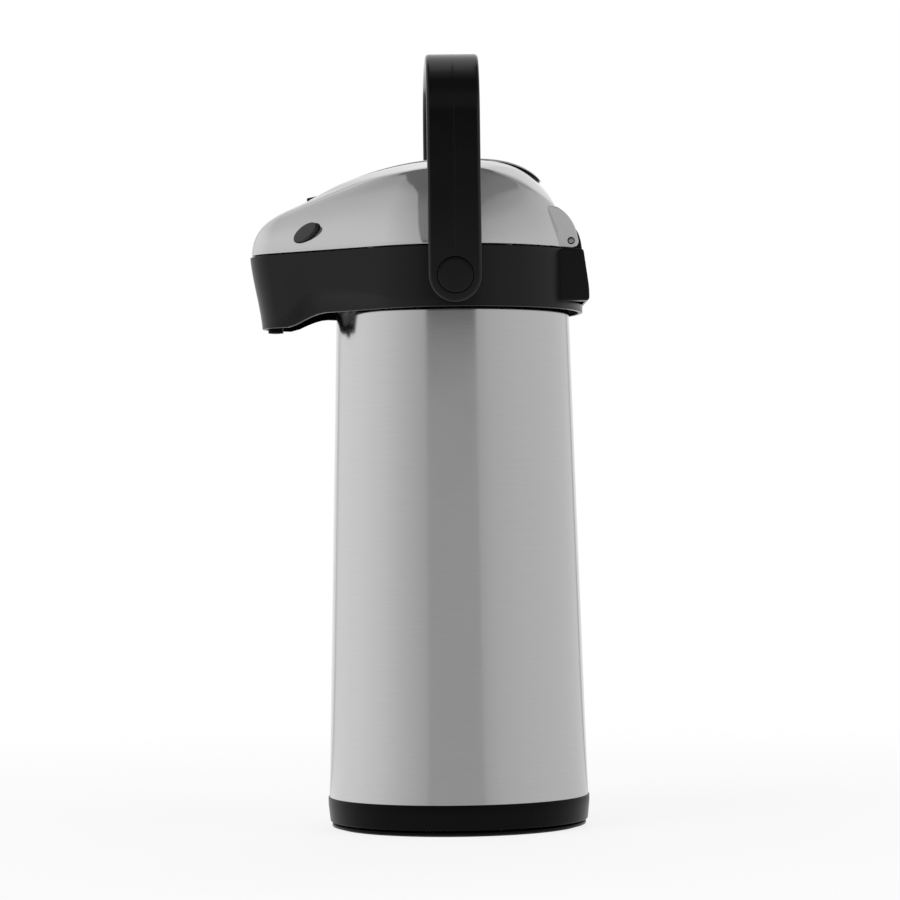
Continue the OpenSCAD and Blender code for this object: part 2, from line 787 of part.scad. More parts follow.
module dip_tube() {
    z0 = liner_bottom_z + liner_neck_in + tube_foot_gap;
    color("gainsboro") translate([0, 0, z0]) difference() {
        cylinder(r = tube_r, h = tube_top_z - z0);
        translate([0, 0, -overrun]) cylinder(r = tube_in_r, h = tube_top_z - z0 + 2 * overrun);
    }
}

module spill_ball() {
    color("white") translate([0, 0, chamber_z + sqrt(ball_r * ball_r - tube_in_r * tube_in_r) + seat])
        sphere(r = ball_r);
}

// Handle and its pivots
handle_y = (handle_span - strap_t) / 2;
top_lean = 8;
bend_turn = 90 - top_lean;
crown_r = bend_r + (handle_y - bend_r) / cos(bend_turn);
bend_z = pivot_z + handle_h - strap_t / 2 - crown_r + (crown_r - bend_r) * sin(bend_turn);
counterbore_h = 2.8;
stud_recess = 0.1;
stud_fit = 0.06;
cap_gap = 0.04;
edge_steps = 3;

end_steps = 7;
end_turn = 84;
bend_steps = 12;
crown_steps = 3;

// The strap's section: thickness, then width, with rounded edges
function strap_section() =
    let (
        t = strap_t / 2,
        w = strap_w / 2,
        r = strap_edge_r,
        top = concat(arc(t - r, w - r, r, 0, 90, edge_steps), arc(r - t, w - r, r, 90, 180, edge_steps))
    )
    concat(top, [for (p = reversed(top)) [p[0], -p[1]]]);

// Places along half the strap, from a leg's round end to the crown: Y, Z, lean and share of the width
crown_z = pivot_z + handle_h - strap_t / 2 - crown_r;
half_strap = concat(
    [for (k = [0 : end_steps])
        let (a = end_turn * (1 - k / end_steps)) [handle_y, pivot_z - strap_w / 2 * sin(a), 0, cos(a)]],
    [for (p = arc(handle_y - bend_r, bend_z, bend_r, 0, bend_turn, bend_steps))
        [p[0], p[1], atan2(p[1] - bend_z, p[0] - handle_y + bend_r), 1]],
    [for (k = [1 : crown_steps])
        let (a = mix(bend_turn, 90, k / crown_steps)) [crown_r * cos(a), crown_z + crown_r * sin(a), a, 1]]
);
function strap_ring(at) = [for (p = strap_section())
    [-p[1] * at[3], at[0] + p[0] * cos(at[2]), at[1] + p[0] * sin(at[2])]];

module handle() {
    color([0.1, 0.1, 0.1]) difference() {
        skin(
            concat(
                [for (at = half_strap) strap_ring(at)],
                [for (k = [len(half_strap) - 2 : -1 : 0])
                    [for (p = strap_ring(half_strap[k])) [p[0], -p[1], p[2]]]]
            ),
            [[0, handle_y, half_strap[0][1]], [0, -handle_y, half_strap[0][1]]]
        );
        for (side = [0, 1]) mirror([0, side, 0]) {
            rod(0, pivot_z, stud_shoulder_r + stud_fit, handle_y - strap_t, handle_y + strap_t);
            rod(0, pivot_z, cap_r + cap_gap, handle_span / 2 - counterbore_h, handle_span / 2 + overrun);
        }
    }
}

module pivot_studs() {
    head_y = handle_span / 2 - counterbore_h + stud_recess;
    color([0.08, 0.08, 0.08]) for (side = [0, 1]) mirror([0, side, 0]) {
        rod(0, pivot_z, stud_r, boss_face_y - stud_depth, boss_face_y);
        rod(0, pivot_z, stud_shoulder_r, boss_face_y, head_y);
        rod(0, pivot_z, cap_r - cap_gap, head_y, handle_span / 2 - stud_recess);
    }
}

// Lid
lid_r = collar_r - lid_step;
lid_tip = spout_tip - lid_step;
lid_nose_r = spout_nose_r - lid_step + loose;
crease_apex_x = 2;
crease_front_ease = 1.1;
crease_power = 1.9;
side_lean_share = 0.25;
side_rise_share = 0.5;
nose_rise_share = 0.75;
band_bulge = 1.2;
opening_tip_gap = 9.5;
opening_back_gap = 0.4;
opening_nose_gap = 1;
edge_step = 0.6;
edge_back_step = 2.5;
lip_h = 4;
lip_t = 1.5;
lip_thin_share = 0.65;
lip_root = 1;
plate_back_x = plate_x + plate_r;
opening_tip = plate_tip + opening_tip_gap;
opening_back_x = plate_back_x + opening_back_gap;

function crease_z(x) = lid_top_z - crease_drop - (x < crease_apex_x
    ? let (u = (crease_apex_x - x) / (crease_tip + crease_apex_x))
        crease_front_fall * u * u * (1 + crease_front_ease * (1 - u))
    : crease_back_fall * pow((x - crease_apex_x) / (crease_back_x - crease_apex_x), crease_power));
function plate_z(x, y) = lid_top_z - plate_side_fall * pow(y / plate_r, 2) - (x < apex_x
    ? plate_front_fall * pow((apex_x - x) / (apex_x + plate_tip), 2)
    : plate_back_fall * pow((x - apex_x) / (plate_back_x - apex_x), 3));
// How far the band behind the plate has turned down: it falls steeply at the back
function steep(x) = pow(bound((x - apex_x) / (plate_back_x - apex_x)), 3);
function opening_z(p) = plate_z(p[0], p[1]) - edge_step - edge_back_step * steep(p[0]);

function lid_plan(d) = outline(0, lid_r - d, lid_tip - d, lid_nose_r - d, lid_back_x - d, back_steps);
function crease_plan(d) =
    outline(crease_x, crease_r - d, crease_tip - d, crease_nose_r - d, crease_back_x - d, back_steps);
function opening_plan(d) = outline(plate_x, plate_r + plate_gap + d, opening_tip + d,
    plate_nose_r + opening_nose_gap + d, opening_back_x + d, back_steps);

// A ring of the lid's side, from the rim (0) to the crease (1), drawn in by a distance
function side_ring(t, d) =
    let (low = lid_plan(d), high = crease_plan(d))
    [for (i = [0 : len(low) - 1])
        let (
            nose = bound(-low[i][0] / lid_tip),
            bend = [for (k = [0, 1]) mix(low[i][k], high[i][k], side_lean_share * (1 - nose))],
            top = crease_z(high[i][0]) - d,
            mid = mix(lid_rim_z, top, mix(side_rise_share, nose_rise_share, nose)),
            a = (1 - t) * (1 - t),
            b = 2 * t * (1 - t),
            c = t * t
        )
        [a * low[i][0] + b * bend[0] + c * high[i][0],
            a * low[i][1] + b * bend[1] + c * high[i][1],
            a * lid_rim_z + b * mid + c * top]];

// A ring of the band between the crease (0) and the opening's edge (1), lowered by a distance
function band_ring(t, d) =
    let (low = crease_plan(0), high = opening_plan(0))
    [for (i = [0 : len(low) - 1])
        [mix(low[i][0], high[i][0], t),
            mix(low[i][1], high[i][1], t),
            mix(crease_z(low[i][0]), opening_z(high[i]), t) + band_bulge * 4 * t * (1 - t) - d]];
// A ring of the lip under the opening's edge: at the back the lip thins and its root sinks
function lip_ring(d, drop, back_drop) =
    let (at = opening_plan(lip_t), edge = opening_plan(0))
    [for (i = [0 : len(at) - 1])
        let (x = edge[i][0], out = d / lip_t * (1 - lip_thin_share * steep(x)))
        [mix(x, at[i][0], out), mix(edge[i][1], at[i][1], out),
            opening_z(edge[i]) - mix(drop, back_drop, steep(x))]];
function root_ring() = lip_ring(lip_t, lid_wall, lip_h + lip_root);
function under_ring() =
    let (low = side_ring(1, lid_wall), high = root_ring())
    [for (i = [0 : len(low) - 1])
        [for (k = [0 : 2]) mix(low[i][k], high[i][k], 1 / 2) + (k == 2 ? band_bulge : 0)]];

ear_front_x = lid_back_x - lid_wall + bite;
ear_reach_share = 0.823;
ear_back_x = pin_x - ear_reach_share * ear_back_r;
ear_back_drop = 1;
ear_top_drop = 1.5;
ear_root_len = 4.7;
ear_root_h = 8;
ear_root_low_h = 4;
pin_fit = 0.05;
lug_r = 3;
lug_t = 1.8;
lug_foot_len = 1.5;
lug_in_y = 8.2;
plate_pin_r = 1.5;
plate_pin_drop = 5.3;
plate_pin_z = plate_z(-plate_tip, 0) - plate_pin_drop;
shelf_drop = 5.6;
shelf_z = plate_z(-opening_tip, 0) - shelf_drop;
shelf_t = 2;
shelf_len = 5.3;
shelf_back_x = shelf_len - opening_tip;
slot_depth = 2.7;
slot_front_x = slot_depth - opening_tip;
slot_w = 1.6;
slot_half_y = 3.6;
lid_boss_r = 4;
lid_boss_gap = 0.1;
screw_back_x = 30;
screw_back_y = 56;
screw_front_x = -45;
screw_front_y = 48;
screw_places = [for (side = [-1, 1]) each
    [[screw_back_x, side * screw_back_y], [screw_front_x, side * screw_front_y]]];
screw_r = 1.4;
screw_head_h2 = 2;
screw_cap_r = 3.2;
screw_len = 12;
base_plate_lift = 0.2;
base_plate_z = lid_rim_z + base_plate_lift;
base_plate_t = 2.5;
button_tilt = 76.1;
button_turn = 56.7;
button_spin = 65.8;
button_fit = 0.4;
button_hole_h = 4.8;
oval_steps = 48;

// Puts the middle of a button's face at the origin, looking along +Z with its long side along X
module button_place(side) {
    translate([-button_x, side * button_y, lid_rim_z + button_h])
        rotate([0, button_tilt, side * (180 - button_turn)]) rotate([0, 0, side * button_spin]) children();
}

// A button's outline, widened by a distance
function oval(d) = [for (k = [0 : oval_steps - 1])
    let (a = 360 * k / oval_steps) [(button_long + d) * cos(a), (button_short + d) * sin(a)]];
module oval_block(d, z0, z1) {
    translate([0, 0, z0]) linear_extrude(height = z1 - z0) polygon(oval(d));
}

// The space inside the lid's side and band, a distance within their faces
module lid_inside(d) {
    bottom = lid_rim_z - overrun;
    skin(
        [[for (p = side_ring(0, d)) [p[0], p[1], bottom]],
            for (t = [1 / 5 : 1 / 5 : 1]) side_ring(t, d),
            band_ring(1 / 2, d), band_ring(1, d)],
        [[0, 0, bottom], [plate_x, 0, opening_z([plate_x, 0]) - d]]
    );
}

module lid_shell() {
    color("silver") difference() {
        union() {
            skin([
                for (t = [0 : 1 / 5 : 1]) side_ring(t, 0),
                band_ring(1 / 4, 0),
                band_ring(1 / 2, 0),
                band_ring(3 / 4, 0),
                band_ring(1, 0),
                lip_ring(0, lip_h, lip_h),
                lip_ring(lip_t, lip_h, lip_h),
                root_ring(),
                under_ring(),
                for (t = [1 : -1 / 5 : 0]) side_ring(t, lid_wall)
            ]);
            // ears
            for (side = [0, 1]) mirror([0, side, 0]) {
                across(ear_span / 2 - ear_t, ear_span / 2) polygon(concat(
                    [[ear_front_x, lid_rim_z]],
                    [[pin_x, pin_z - ear_r]],
                    arc(ear_back_x, pin_z - ear_back_drop, ear_back_r, 0, 60, 8),
                    [[ear_front_x, crease_z(lid_back_x) - ear_top_drop],
                        [ear_front_x - ear_root_len, crease_z(lid_back_x) - ear_top_drop],
                        [ear_front_x - ear_root_len, lid_rim_z + ear_root_h],
                        [ear_front_x, lid_rim_z + ear_root_low_h]]
                ));
                rod(pin_x, pin_z, ear_r, ear_span / 2 - ear_t, ear_span / 2);
                // lugs of the push plate, on feet that run into the lock's shelf
                across(lug_in_y, lug_in_y + lug_t) polygon(concat(
                    arc(-plate_pin_x, plate_pin_z, lug_r, 0, 180, 12),
                    [[-plate_pin_x - lug_r, shelf_z + shelf_t],
                        [-plate_pin_x - lug_r - lug_foot_len, shelf_z + shelf_t],
                        [-plate_pin_x - lug_r - lug_foot_len, shelf_z],
                        [-plate_pin_x + lug_r, shelf_z]]
                ));
            }
            // shelf of the lock slider
            difference() {
                translate([0, 0, shelf_z]) linear_extrude(height = shelf_t) intersection() {
                    polygon(opening_plan(lip_t / 2));
                    translate([-lid_tip, -lid_r]) square([lid_tip + shelf_back_x, 2 * lid_r]);
                }
                translate([slot_front_x, -slot_half_y, shelf_z - overrun])
                    cube([slot_w, 2 * slot_half_y, shelf_t + 2 * overrun]);
            }
            // bosses of the lid's screws
            intersection() {
                for (p = screw_places)
                    translate([p[0], p[1], base_plate_z + base_plate_t + lid_boss_gap])
                        cylinder(r = lid_boss_r, h = lid_h);
                lid_inside(lid_wall - bite);
            }
        }
        rod(pin_x, pin_z, pin_r + pin_fit, -ear_span / 2 - overrun, ear_span / 2 + overrun);
        rod(-plate_pin_x, plate_pin_z, plate_pin_r, -lug_in_y - lug_t - overrun, lug_in_y + lug_t + overrun);
        for (p = screw_places) translate([p[0], p[1], lid_rim_z]) cylinder(r = screw_r, h = screw_len);
        for (side = [-1, 1]) button_place(side) oval_block(button_fit, -button_hole_h, overrun);
    }
}

plug_r = 34;
plug_wall = 2.5;
plug_lift = 3;
plug_z = deck_z + plug_lift;
plug_floor_t = 2;
valve_hole_r = 6;
bellows_seat_r = 29;
bellows_seat_h = 1.5;
bellows_hole_r = 11;
base_inset = 2.8;
pocket_fit = 0.3;
pocket_wall_t = 1.6;
pocket_start = 4.4;
pocket_floor = 10;
pocket_len = 14;
pocket_gap = 0.8;
bellows_z = base_plate_z + base_plate_t + bellows_seat_h + seat;

module lid_base() {
    color([0.85, 0.85, 0.83]) difference() {
        union() {
            translate([0, 0, base_plate_z]) linear_extrude(height = base_plate_t)
                polygon(lid_plan(base_inset));
            translate([0, 0, plug_z]) cylinder(r = plug_r, h = base_plate_z - plug_z + overrun);
            translate([0, 0, base_plate_z]) cylinder(r = bellows_seat_r, h = base_plate_t + bellows_seat_h);
            intersection() {
                for (side = [-1, 1]) button_place(side)
                    oval_block(pocket_wall_t, -pocket_start - pocket_len, -pocket_start);
                lid_inside(lid_wall + pocket_gap);
                translate([-lid_tip, -lid_r, base_plate_z]) cube([lid_tip, 2 * lid_r, lid_h]);
            }
        }
        translate([0, 0, plug_z + plug_floor_t])
            cylinder(r = plug_r - plug_wall, h = base_plate_z - plug_z - plug_floor_t);
        translate([0, 0, plug_z - overrun]) cylinder(r = valve_hole_r, h = plug_floor_t + 2 * overrun);
        translate([0, 0, base_plate_z - overrun])
            cylinder(r = bellows_hole_r, h = base_plate_t + bellows_seat_h + 2 * overrun);
        for (side = [-1, 1]) button_place(side) oval_block(pocket_fit, -pocket_floor, 0);
        for (p = screw_places) translate([p[0], p[1], base_plate_z - overrun])
            cylinder(r = screw_r, h = base_plate_t + 2 * overrun);
    }
}

module lid_screws() {
    color("silver") for (p = screw_places) translate([p[0], p[1], 0]) {
        translate([0, 0, base_plate_z]) cylinder(r = screw_r, h = screw_len - overrun);
        translate([0, 0, base_plate_z - screw_head_h2]) cylinder(r = screw_cap_r, h = screw_head_h2);
    }
}

gasket_lip_h = 2.9;
gasket_reach = 3;
module mouth_gasket() {
    color("white") translate([0, 0, plug_z - gasket_lip_h]) difference() {
        cylinder(r = plug_r - loose, h = gasket_lip_h);
        translate([0, 0, -overrun]) cylinder(r = mouth_r - gasket_reach, h = gasket_lip_h + 2 * overrun);
    }
}

valve_r = 8;
valve_t = 1.2;
module air_valve() {
    color("white") translate([0, 0, plug_z + plug_floor_t]) cylinder(r = valve_r, h = valve_t);
}

// Pump
bellows_h = 33.1;
pump_cap_r = 26;
pump_cap_t = 2.5;
pump_pad_r = 10;
pump_pad_h = 1.8;
bellows_end_w = 3;
bellows_top_z = bellows_z + bellows_h;
pump_cap_z = bellows_top_z + seat;
pump_top_z = pump_cap_z + pump_cap_t + pump_pad_h;
module bellows() {
    count = 2 * pleats;
    in_r = bellows_r - pleat_depth;
    z = [for (k = [0 : count]) mix(bellows_z, bellows_top_z, k / count)];
    color([0.3, 0.3, 0.3]) rotate_extrude() polygon(concat(
        [for (k = [0 : count]) [k % 2 == 0 ? in_r : bellows_r, z[k]]],
        [for (k = [count : -1 : 0]) [(k % 2 == 0 ? in_r : bellows_r) - bellows_t, z[k]]]
    ));
}

module return_spring() {
    color("silver") coil(spring_r, wire_r, spring_turns, bellows_z + wire_r, bellows_top_z - wire_r);
}

module bellows_cap() {
    color("black") {
        translate([0, 0, pump_cap_z]) cylinder(r = pump_cap_r, h = pump_cap_t);
        translate([0, 0, pump_cap_z + pump_cap_t]) cylinder(r = pump_pad_r, h = pump_pad_h);
    }
}

plate_pin_recess = 0.2;
module plate_pin() {
    reach = lug_in_y + lug_t - plate_pin_recess;
    color("silver") rod(-plate_pin_x, plate_pin_z, plate_pin_r, -reach, reach);
}

button_wire = 0.35;
button_coil_r = 3;
button_coil_turns = 2;
button_coil_gap = 0.05;
module button_springs() {
    color("silver") for (side = [-1, 1]) button_place(side)
        coil(button_coil_r, button_wire, button_coil_turns, button_wire + button_coil_gap - pocket_floor,
            -button_len - button_travel - button_coil_gap - button_wire);
}

// Push plate
plate_rings_share = [1 / 3, 2 / 3, 0.9];
plate_mid_x = plate_x - plate_r / 2;
plate_edge = 0.5;
plate_seat = 0.15;
skirt_inset = 0.8;
skirt_wall = 2.5;
web_t = 2;
tongue_half_y = 7.5;
pusher_r = 8;
pusher_gap = 0.4;

function plate_plan(d) = outline(plate_x, plate_r - d, plate_tip - d, plate_nose_r - d, 0, 0);
// A ring of the plate's surface, shrunk to a share about its middle and lowered by a distance
function plate_ring(plan, share, drop) =
    [for (p = plan)
        let (x = mix(plate_mid_x, p[0], share), y = p[1] * share)
        [x, y, plate_z(x, y) - drop]];

module push_plate() {
    edge = plate_plan(0);
    inner = plate_plan(plate_edge);
    color("gainsboro") skin(
        [for (share = plate_rings_share) plate_ring(edge, share, plate_t),
            plate_ring(edge, 1, plate_t),
            plate_ring(edge, 1, plate_edge),
            plate_ring(inner, 1, 0),
            for (share = reversed(plate_rings_share)) plate_ring(inner, share, 0)],
        [[plate_mid_x, 0, plate_z(plate_mid_x, 0) - plate_t], [plate_mid_x, 0, plate_z(plate_mid_x, 0)]]
    );
}

module plate_skirt() {
    top = plate_t + plate_seat;
    edge = plate_plan(0);
    face = plate_plan(skirt_inset);
    back = plate_plan(skirt_inset + skirt_wall);
    color("black") difference() {
        union() {
            skin(
                [for (share = plate_rings_share) plate_ring(back, share, top + web_t),
                    plate_ring(back, 1, top + web_t),
                    plate_ring(back, 1, top + skirt_h),
                    plate_ring(face, 1, top + skirt_h),
                    plate_ring(face, 1, top),
                    for (share = reversed(plate_rings_share)) plate_ring(edge, share, top)],
                [[plate_mid_x, 0, plate_z(plate_mid_x, 0) - top - web_t],
                    [plate_mid_x, 0, plate_z(plate_mid_x, 0) - top]],
                true
            );
            // tongue on the hinge pin
            rod(-plate_pin_x, plate_pin_z, lug_r, -tongue_half_y, tongue_half_y);
            across(-tongue_half_y, tongue_half_y) polygon([
                [-plate_pin_x, plate_pin_z - lug_r],
                [-plate_pin_x, plate_pin_z + lug_r],
                [skirt_inset + skirt_wall - plate_tip + loose, plate_pin_z + lug_r],
                [skirt_inset + skirt_wall - plate_tip + loose, plate_pin_z - lug_r + loose]
            ]);
            // pusher over the bellows
            intersection() {
                translate([0, 0, pump_top_z + pusher_gap + pusher_r]) sphere(r = pusher_r);
                cylinder(r = pusher_r, h = plate_z(0, pusher_r) - top - loose);
            }
        }
        rod(-plate_pin_x, plate_pin_z, plate_pin_r + running,
            -tongue_half_y - overrun, tongue_half_y + overrun);
    }
}

// Lock slider and release buttons
slider_rest_y = -2;
slider_half_y = 3.4;
knob_half_y = 3;
slider_w = 3.2;
slider_t = 1;
knob_h = 5.8;
stem_half_y = 1.2;
stem_w = 1.2;
slider_foot_t = 1.1;
slider_foot_half_y = 2.5;
module lock_slider() {
    front = slot_front_x - (slider_w - slot_w) / 2;
    top = shelf_z + shelf_t + seat;
    low = shelf_z - seat;
    color([0.3, 0.3, 0.3]) translate([0, slider_rest_y, 0]) {
        translate([front, -slider_half_y, top]) cube([slider_w, 2 * slider_half_y, slider_t]);
        translate([front, -knob_half_y, top + slider_t]) cube([slider_w, 2 * knob_half_y, knob_h]);
        translate([slot_front_x + (slot_w - stem_w) / 2, -stem_half_y, low])
            cube([stem_w, 2 * stem_half_y, top - low]);
        translate([front, -slider_foot_half_y, low - slider_foot_t])
            cube([slider_w, 2 * slider_foot_half_y, slider_foot_t]);
    }
}

button_edge = 0.5;
function oval_ring(d, z) = [for (p = oval(d)) [p[0], p[1], z]];
module release_button(side) {
    color([0.15, 0.15, 0.15]) button_place(side) skin(
        [oval_ring(0, -button_len), oval_ring(0, -button_edge), oval_ring(-button_edge, 0)],
        [[0, 0, -button_len], [0, 0, 0]]
    );
}
module release_button_left() release_button(1);
module release_button_right() release_button(-1);

outer_casing();
glass_liner();
liner_cushion();
liner_gasket();
base_ring();
base_cap();
collar();
hinge_pin();
spout_nozzle();
outlet_pipe();
outlet_seal();
tube_elbow();
dip_tube();
pivot_studs();
lid_shell();
lid_base();
lid_screws();
bellows();
return_spring();
mouth_gasket();
air_valve();
plate_pin();
button_springs();
push_plate();
plate_skirt();
lock_slider();
release_button_left();
release_button_right();
bellows_cap();
handle();
swivel_foot();
foot_pad();
slip_ring();
swivel_washer();
swivel_screw();
spill_ball();
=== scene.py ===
import math

import bmesh
import bpy
import numpy as np
from mathutils import Matrix, Vector


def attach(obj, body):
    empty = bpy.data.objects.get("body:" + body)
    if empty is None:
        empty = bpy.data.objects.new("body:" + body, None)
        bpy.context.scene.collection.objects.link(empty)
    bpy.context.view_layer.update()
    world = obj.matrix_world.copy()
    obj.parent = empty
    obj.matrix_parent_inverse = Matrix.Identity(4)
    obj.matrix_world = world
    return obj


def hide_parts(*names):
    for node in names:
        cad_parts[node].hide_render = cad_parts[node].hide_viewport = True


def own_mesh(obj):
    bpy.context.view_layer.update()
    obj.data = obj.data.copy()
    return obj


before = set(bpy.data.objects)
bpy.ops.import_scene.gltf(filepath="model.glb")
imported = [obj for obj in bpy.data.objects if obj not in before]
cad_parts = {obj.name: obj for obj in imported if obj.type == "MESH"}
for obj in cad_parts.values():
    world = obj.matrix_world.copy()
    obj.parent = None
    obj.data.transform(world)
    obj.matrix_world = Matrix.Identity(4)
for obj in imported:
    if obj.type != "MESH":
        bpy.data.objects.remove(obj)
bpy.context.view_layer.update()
mm = 0.001
weldReach = 2e-6

# ways of making shapes, all in millimetres with Z up and the spout towards -X


def bound(u):
    return np.clip(u, 0, 1)


def ramp(x, start, end):
    return bound((x - start) / (end - start))  # from 0 at the start to 1 at the end


def ease(u):
    return u * u * (3 - 2 * u)  # starts and ends gently


def mix(a, b, u):
    return a + (b - a) * u


def arcPoints(x, y, radius, start, end, count):
    # points of a circle from one angle to another
    a = np.linspace(start, end, count)
    return np.stack([x + radius * np.cos(a), y + radius * np.sin(a)], -1)


def softened(corners, radii, steps=6):
    # each corner becomes a parabola between two points on its sides, a radius away from the corner
    p = np.asarray(corners, float)
    before, after = np.roll(p, 1, 0) - p, np.roll(p, -1, 0) - p
    toBefore, toAfter = (np.linalg.norm(v, axis=1, keepdims=True) for v in (before, after))
    reach = np.minimum(np.broadcast_to(radii, len(p))[:, None], 0.49 * np.minimum(toBefore, toAfter))
    a, b = p + before / toBefore * reach, p + after / toAfter * reach
    t = np.linspace(0, 1, steps)[None, :, None]
    return ((1 - t) ** 2 * a[:, None] + 2 * t * (1 - t) * p[:, None] + t**2 * b[:, None]).reshape(-1, 2)


def cornersOf(sizes, names):
    # points of a profile, each from two of a piece's sizes; axis stands for zero
    known = {**sizes, "axis": 0}
    return [[known[name] for name in pair.split()] for pair in names.split(",")]


def gridFaces(rows, cols, wrapRows=False, wrapCols=False):
    # quads between the points of a grid; a wrapped direction joins its last line of points to its first
    i = np.arange(rows if wrapRows else rows - 1)[:, None]
    j = np.arange(cols if wrapCols else cols - 1)[None]
    up, right = (i + 1) % rows * cols, (j + 1) % cols
    return np.stack([i * cols + j, i * cols + right, up + right, up + j], -1).reshape(-1, 4).tolist()


def loft(rings, wrap=False, caps=False):
    # closed rings of equally many points; wrap joins the last ring to the first, caps closes the ends
    rows, cols = rings.shape[:2]
    faces = gridFaces(rows, cols, wrap, True)
    if caps:
        faces += [list(range(cols))[::-1], list(range((rows - 1) * cols, rows * cols))]
    return rings.reshape(-1, 3), faces


def turned(profile, steps=192, wrap=True):
    # a profile of radius and height carried round Z
    p = np.asarray(profile, float)
    a = np.linspace(0, 2 * math.pi, steps, endpoint=False)
    x, y = p[:, :1] * np.cos(a), p[:, :1] * np.sin(a)
    return loft(np.stack([x, y, np.broadcast_to(p[:, 1:], x.shape)], -1), wrap)


def rod(radius, low, high, steps, soft=None):
    # a solid cylinder round Z; soft gives the radii of its lower and upper rim
    corners = [[0, low], [radius, low], [radius, high], [0, high]]
    return turned(softened(corners, [0, *soft, 0]) if soft else corners, steps, wrap=False)


def slab(outlinePoints, low, high, edge, along="y", steps=5, border=0.35):
    # a closed outline carried along Y or Z; at both ends it draws in by a quarter circle along its normals,
    # and a narrow flat border there keeps the end face's shading even
    p = np.asarray(outlinePoints, float)
    tangent = np.roll(p, -1, 0) - np.roll(p, 1, 0)
    normal = np.stack([tangent[:, 1], -tangent[:, 0]], -1)
    normal /= np.linalg.norm(normal, axis=1, keepdims=True)
    area = np.sum(p[:, 0] * np.roll(p[:, 1], -1) - np.roll(p[:, 0], -1) * p[:, 1])
    a = np.linspace(math.pi / 2, 0, steps)
    inner = [edge + border]
    inset = np.concatenate([inner, edge * (1 - np.cos(a)), edge * (1 - np.cos(a[::-1])), inner])
    at = np.concatenate([[low], low + edge * (1 - np.sin(a)), high - edge * (1 - np.sin(a[::-1])), [high]])
    flat = p[None] - np.sign(area) * normal[None] * inset[:, None, None]
    depth = np.broadcast_to(at[:, None], flat.shape[:2])
    order = (flat[..., 0], depth, flat[..., 1]) if along == "y" else (flat[..., 0], flat[..., 1], depth)
    return loft(np.stack(order, -1), caps=True)


def placed(shell, matrix):
    # a shell turned and moved by a 4 by 4 matrix in millimetres
    m = np.array(matrix, float)
    return shell[0] @ m[:3, :3].T + m[:3, 3], shell[1]


def mirrored(shell):
    return shell[0] * [1, -1, 1], shell[1]


def shellOf(mesh):
    # a mesh's points in millimetres and its faces
    points = np.empty(len(mesh.vertices) * 3)
    mesh.vertices.foreach_get("co", points)
    return points.reshape(-1, 3) / mm, [list(face.vertices) for face in mesh.polygons]


def meshOf(name, shells):
    # one mesh of closed shells in metres, welded, with its faces looking outwards
    points, faces, first = [], [], 0
    for shellPoints, shellFaces in shells:
        points.append(shellPoints)
        faces += [[k + first for k in face] for face in shellFaces]
        first += len(shellPoints)
    mesh = bpy.data.meshes.new(name)
    mesh.from_pydata((np.concatenate(points) * mm).tolist(), [], faces)
    work = bmesh.new()
    work.from_mesh(mesh)
    bmesh.ops.remove_doubles(work, verts=work.verts, dist=weldReach)
    bmesh.ops.recalc_face_normals(work, faces=work.faces)
    work.to_mesh(mesh)
    work.free()
    return mesh


def objectOf(name, mesh):
    thing = bpy.data.objects.new(name, mesh)
    bpy.context.scene.collection.objects.link(thing)
    return thing


def carved(shells, tools):
    # a shell with holes cut by other shells
    thing = objectOf("carved", meshOf("carved", shells))
    for tool in tools:
        cutter = objectOf("cutter", meshOf("cutter", [tool]))
        cut = thing.modifiers.new("cut", "BOOLEAN")
        cut.operation, cut.solver, cut.object = "DIFFERENCE", "EXACT", cutter
        made = bpy.data.meshes.new_from_object(thing.evaluated_get(bpy.context.evaluated_depsgraph_get()))
        thing.modifiers.clear()
        thing.data = made
        bpy.data.objects.remove(cutter)
    mesh = thing.data
    bpy.data.objects.remove(thing)
    return shellOf(mesh)


def makePiece(name, shells, finish, body, standsFor, sharp=33):
    # a visible piece that rides on a body and takes the place of CAD nodes
    mesh = meshOf(name, shells)
    mesh.shade_smooth()
    mesh.set_sharp_from_angle(angle=math.radians(sharp))
    piece = objectOf(name, mesh)
    mesh.materials.append(finish)
    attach(piece, body)
    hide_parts(*standsFor)
    print("piece", name, len(mesh.polygons))
    return piece


# finishes

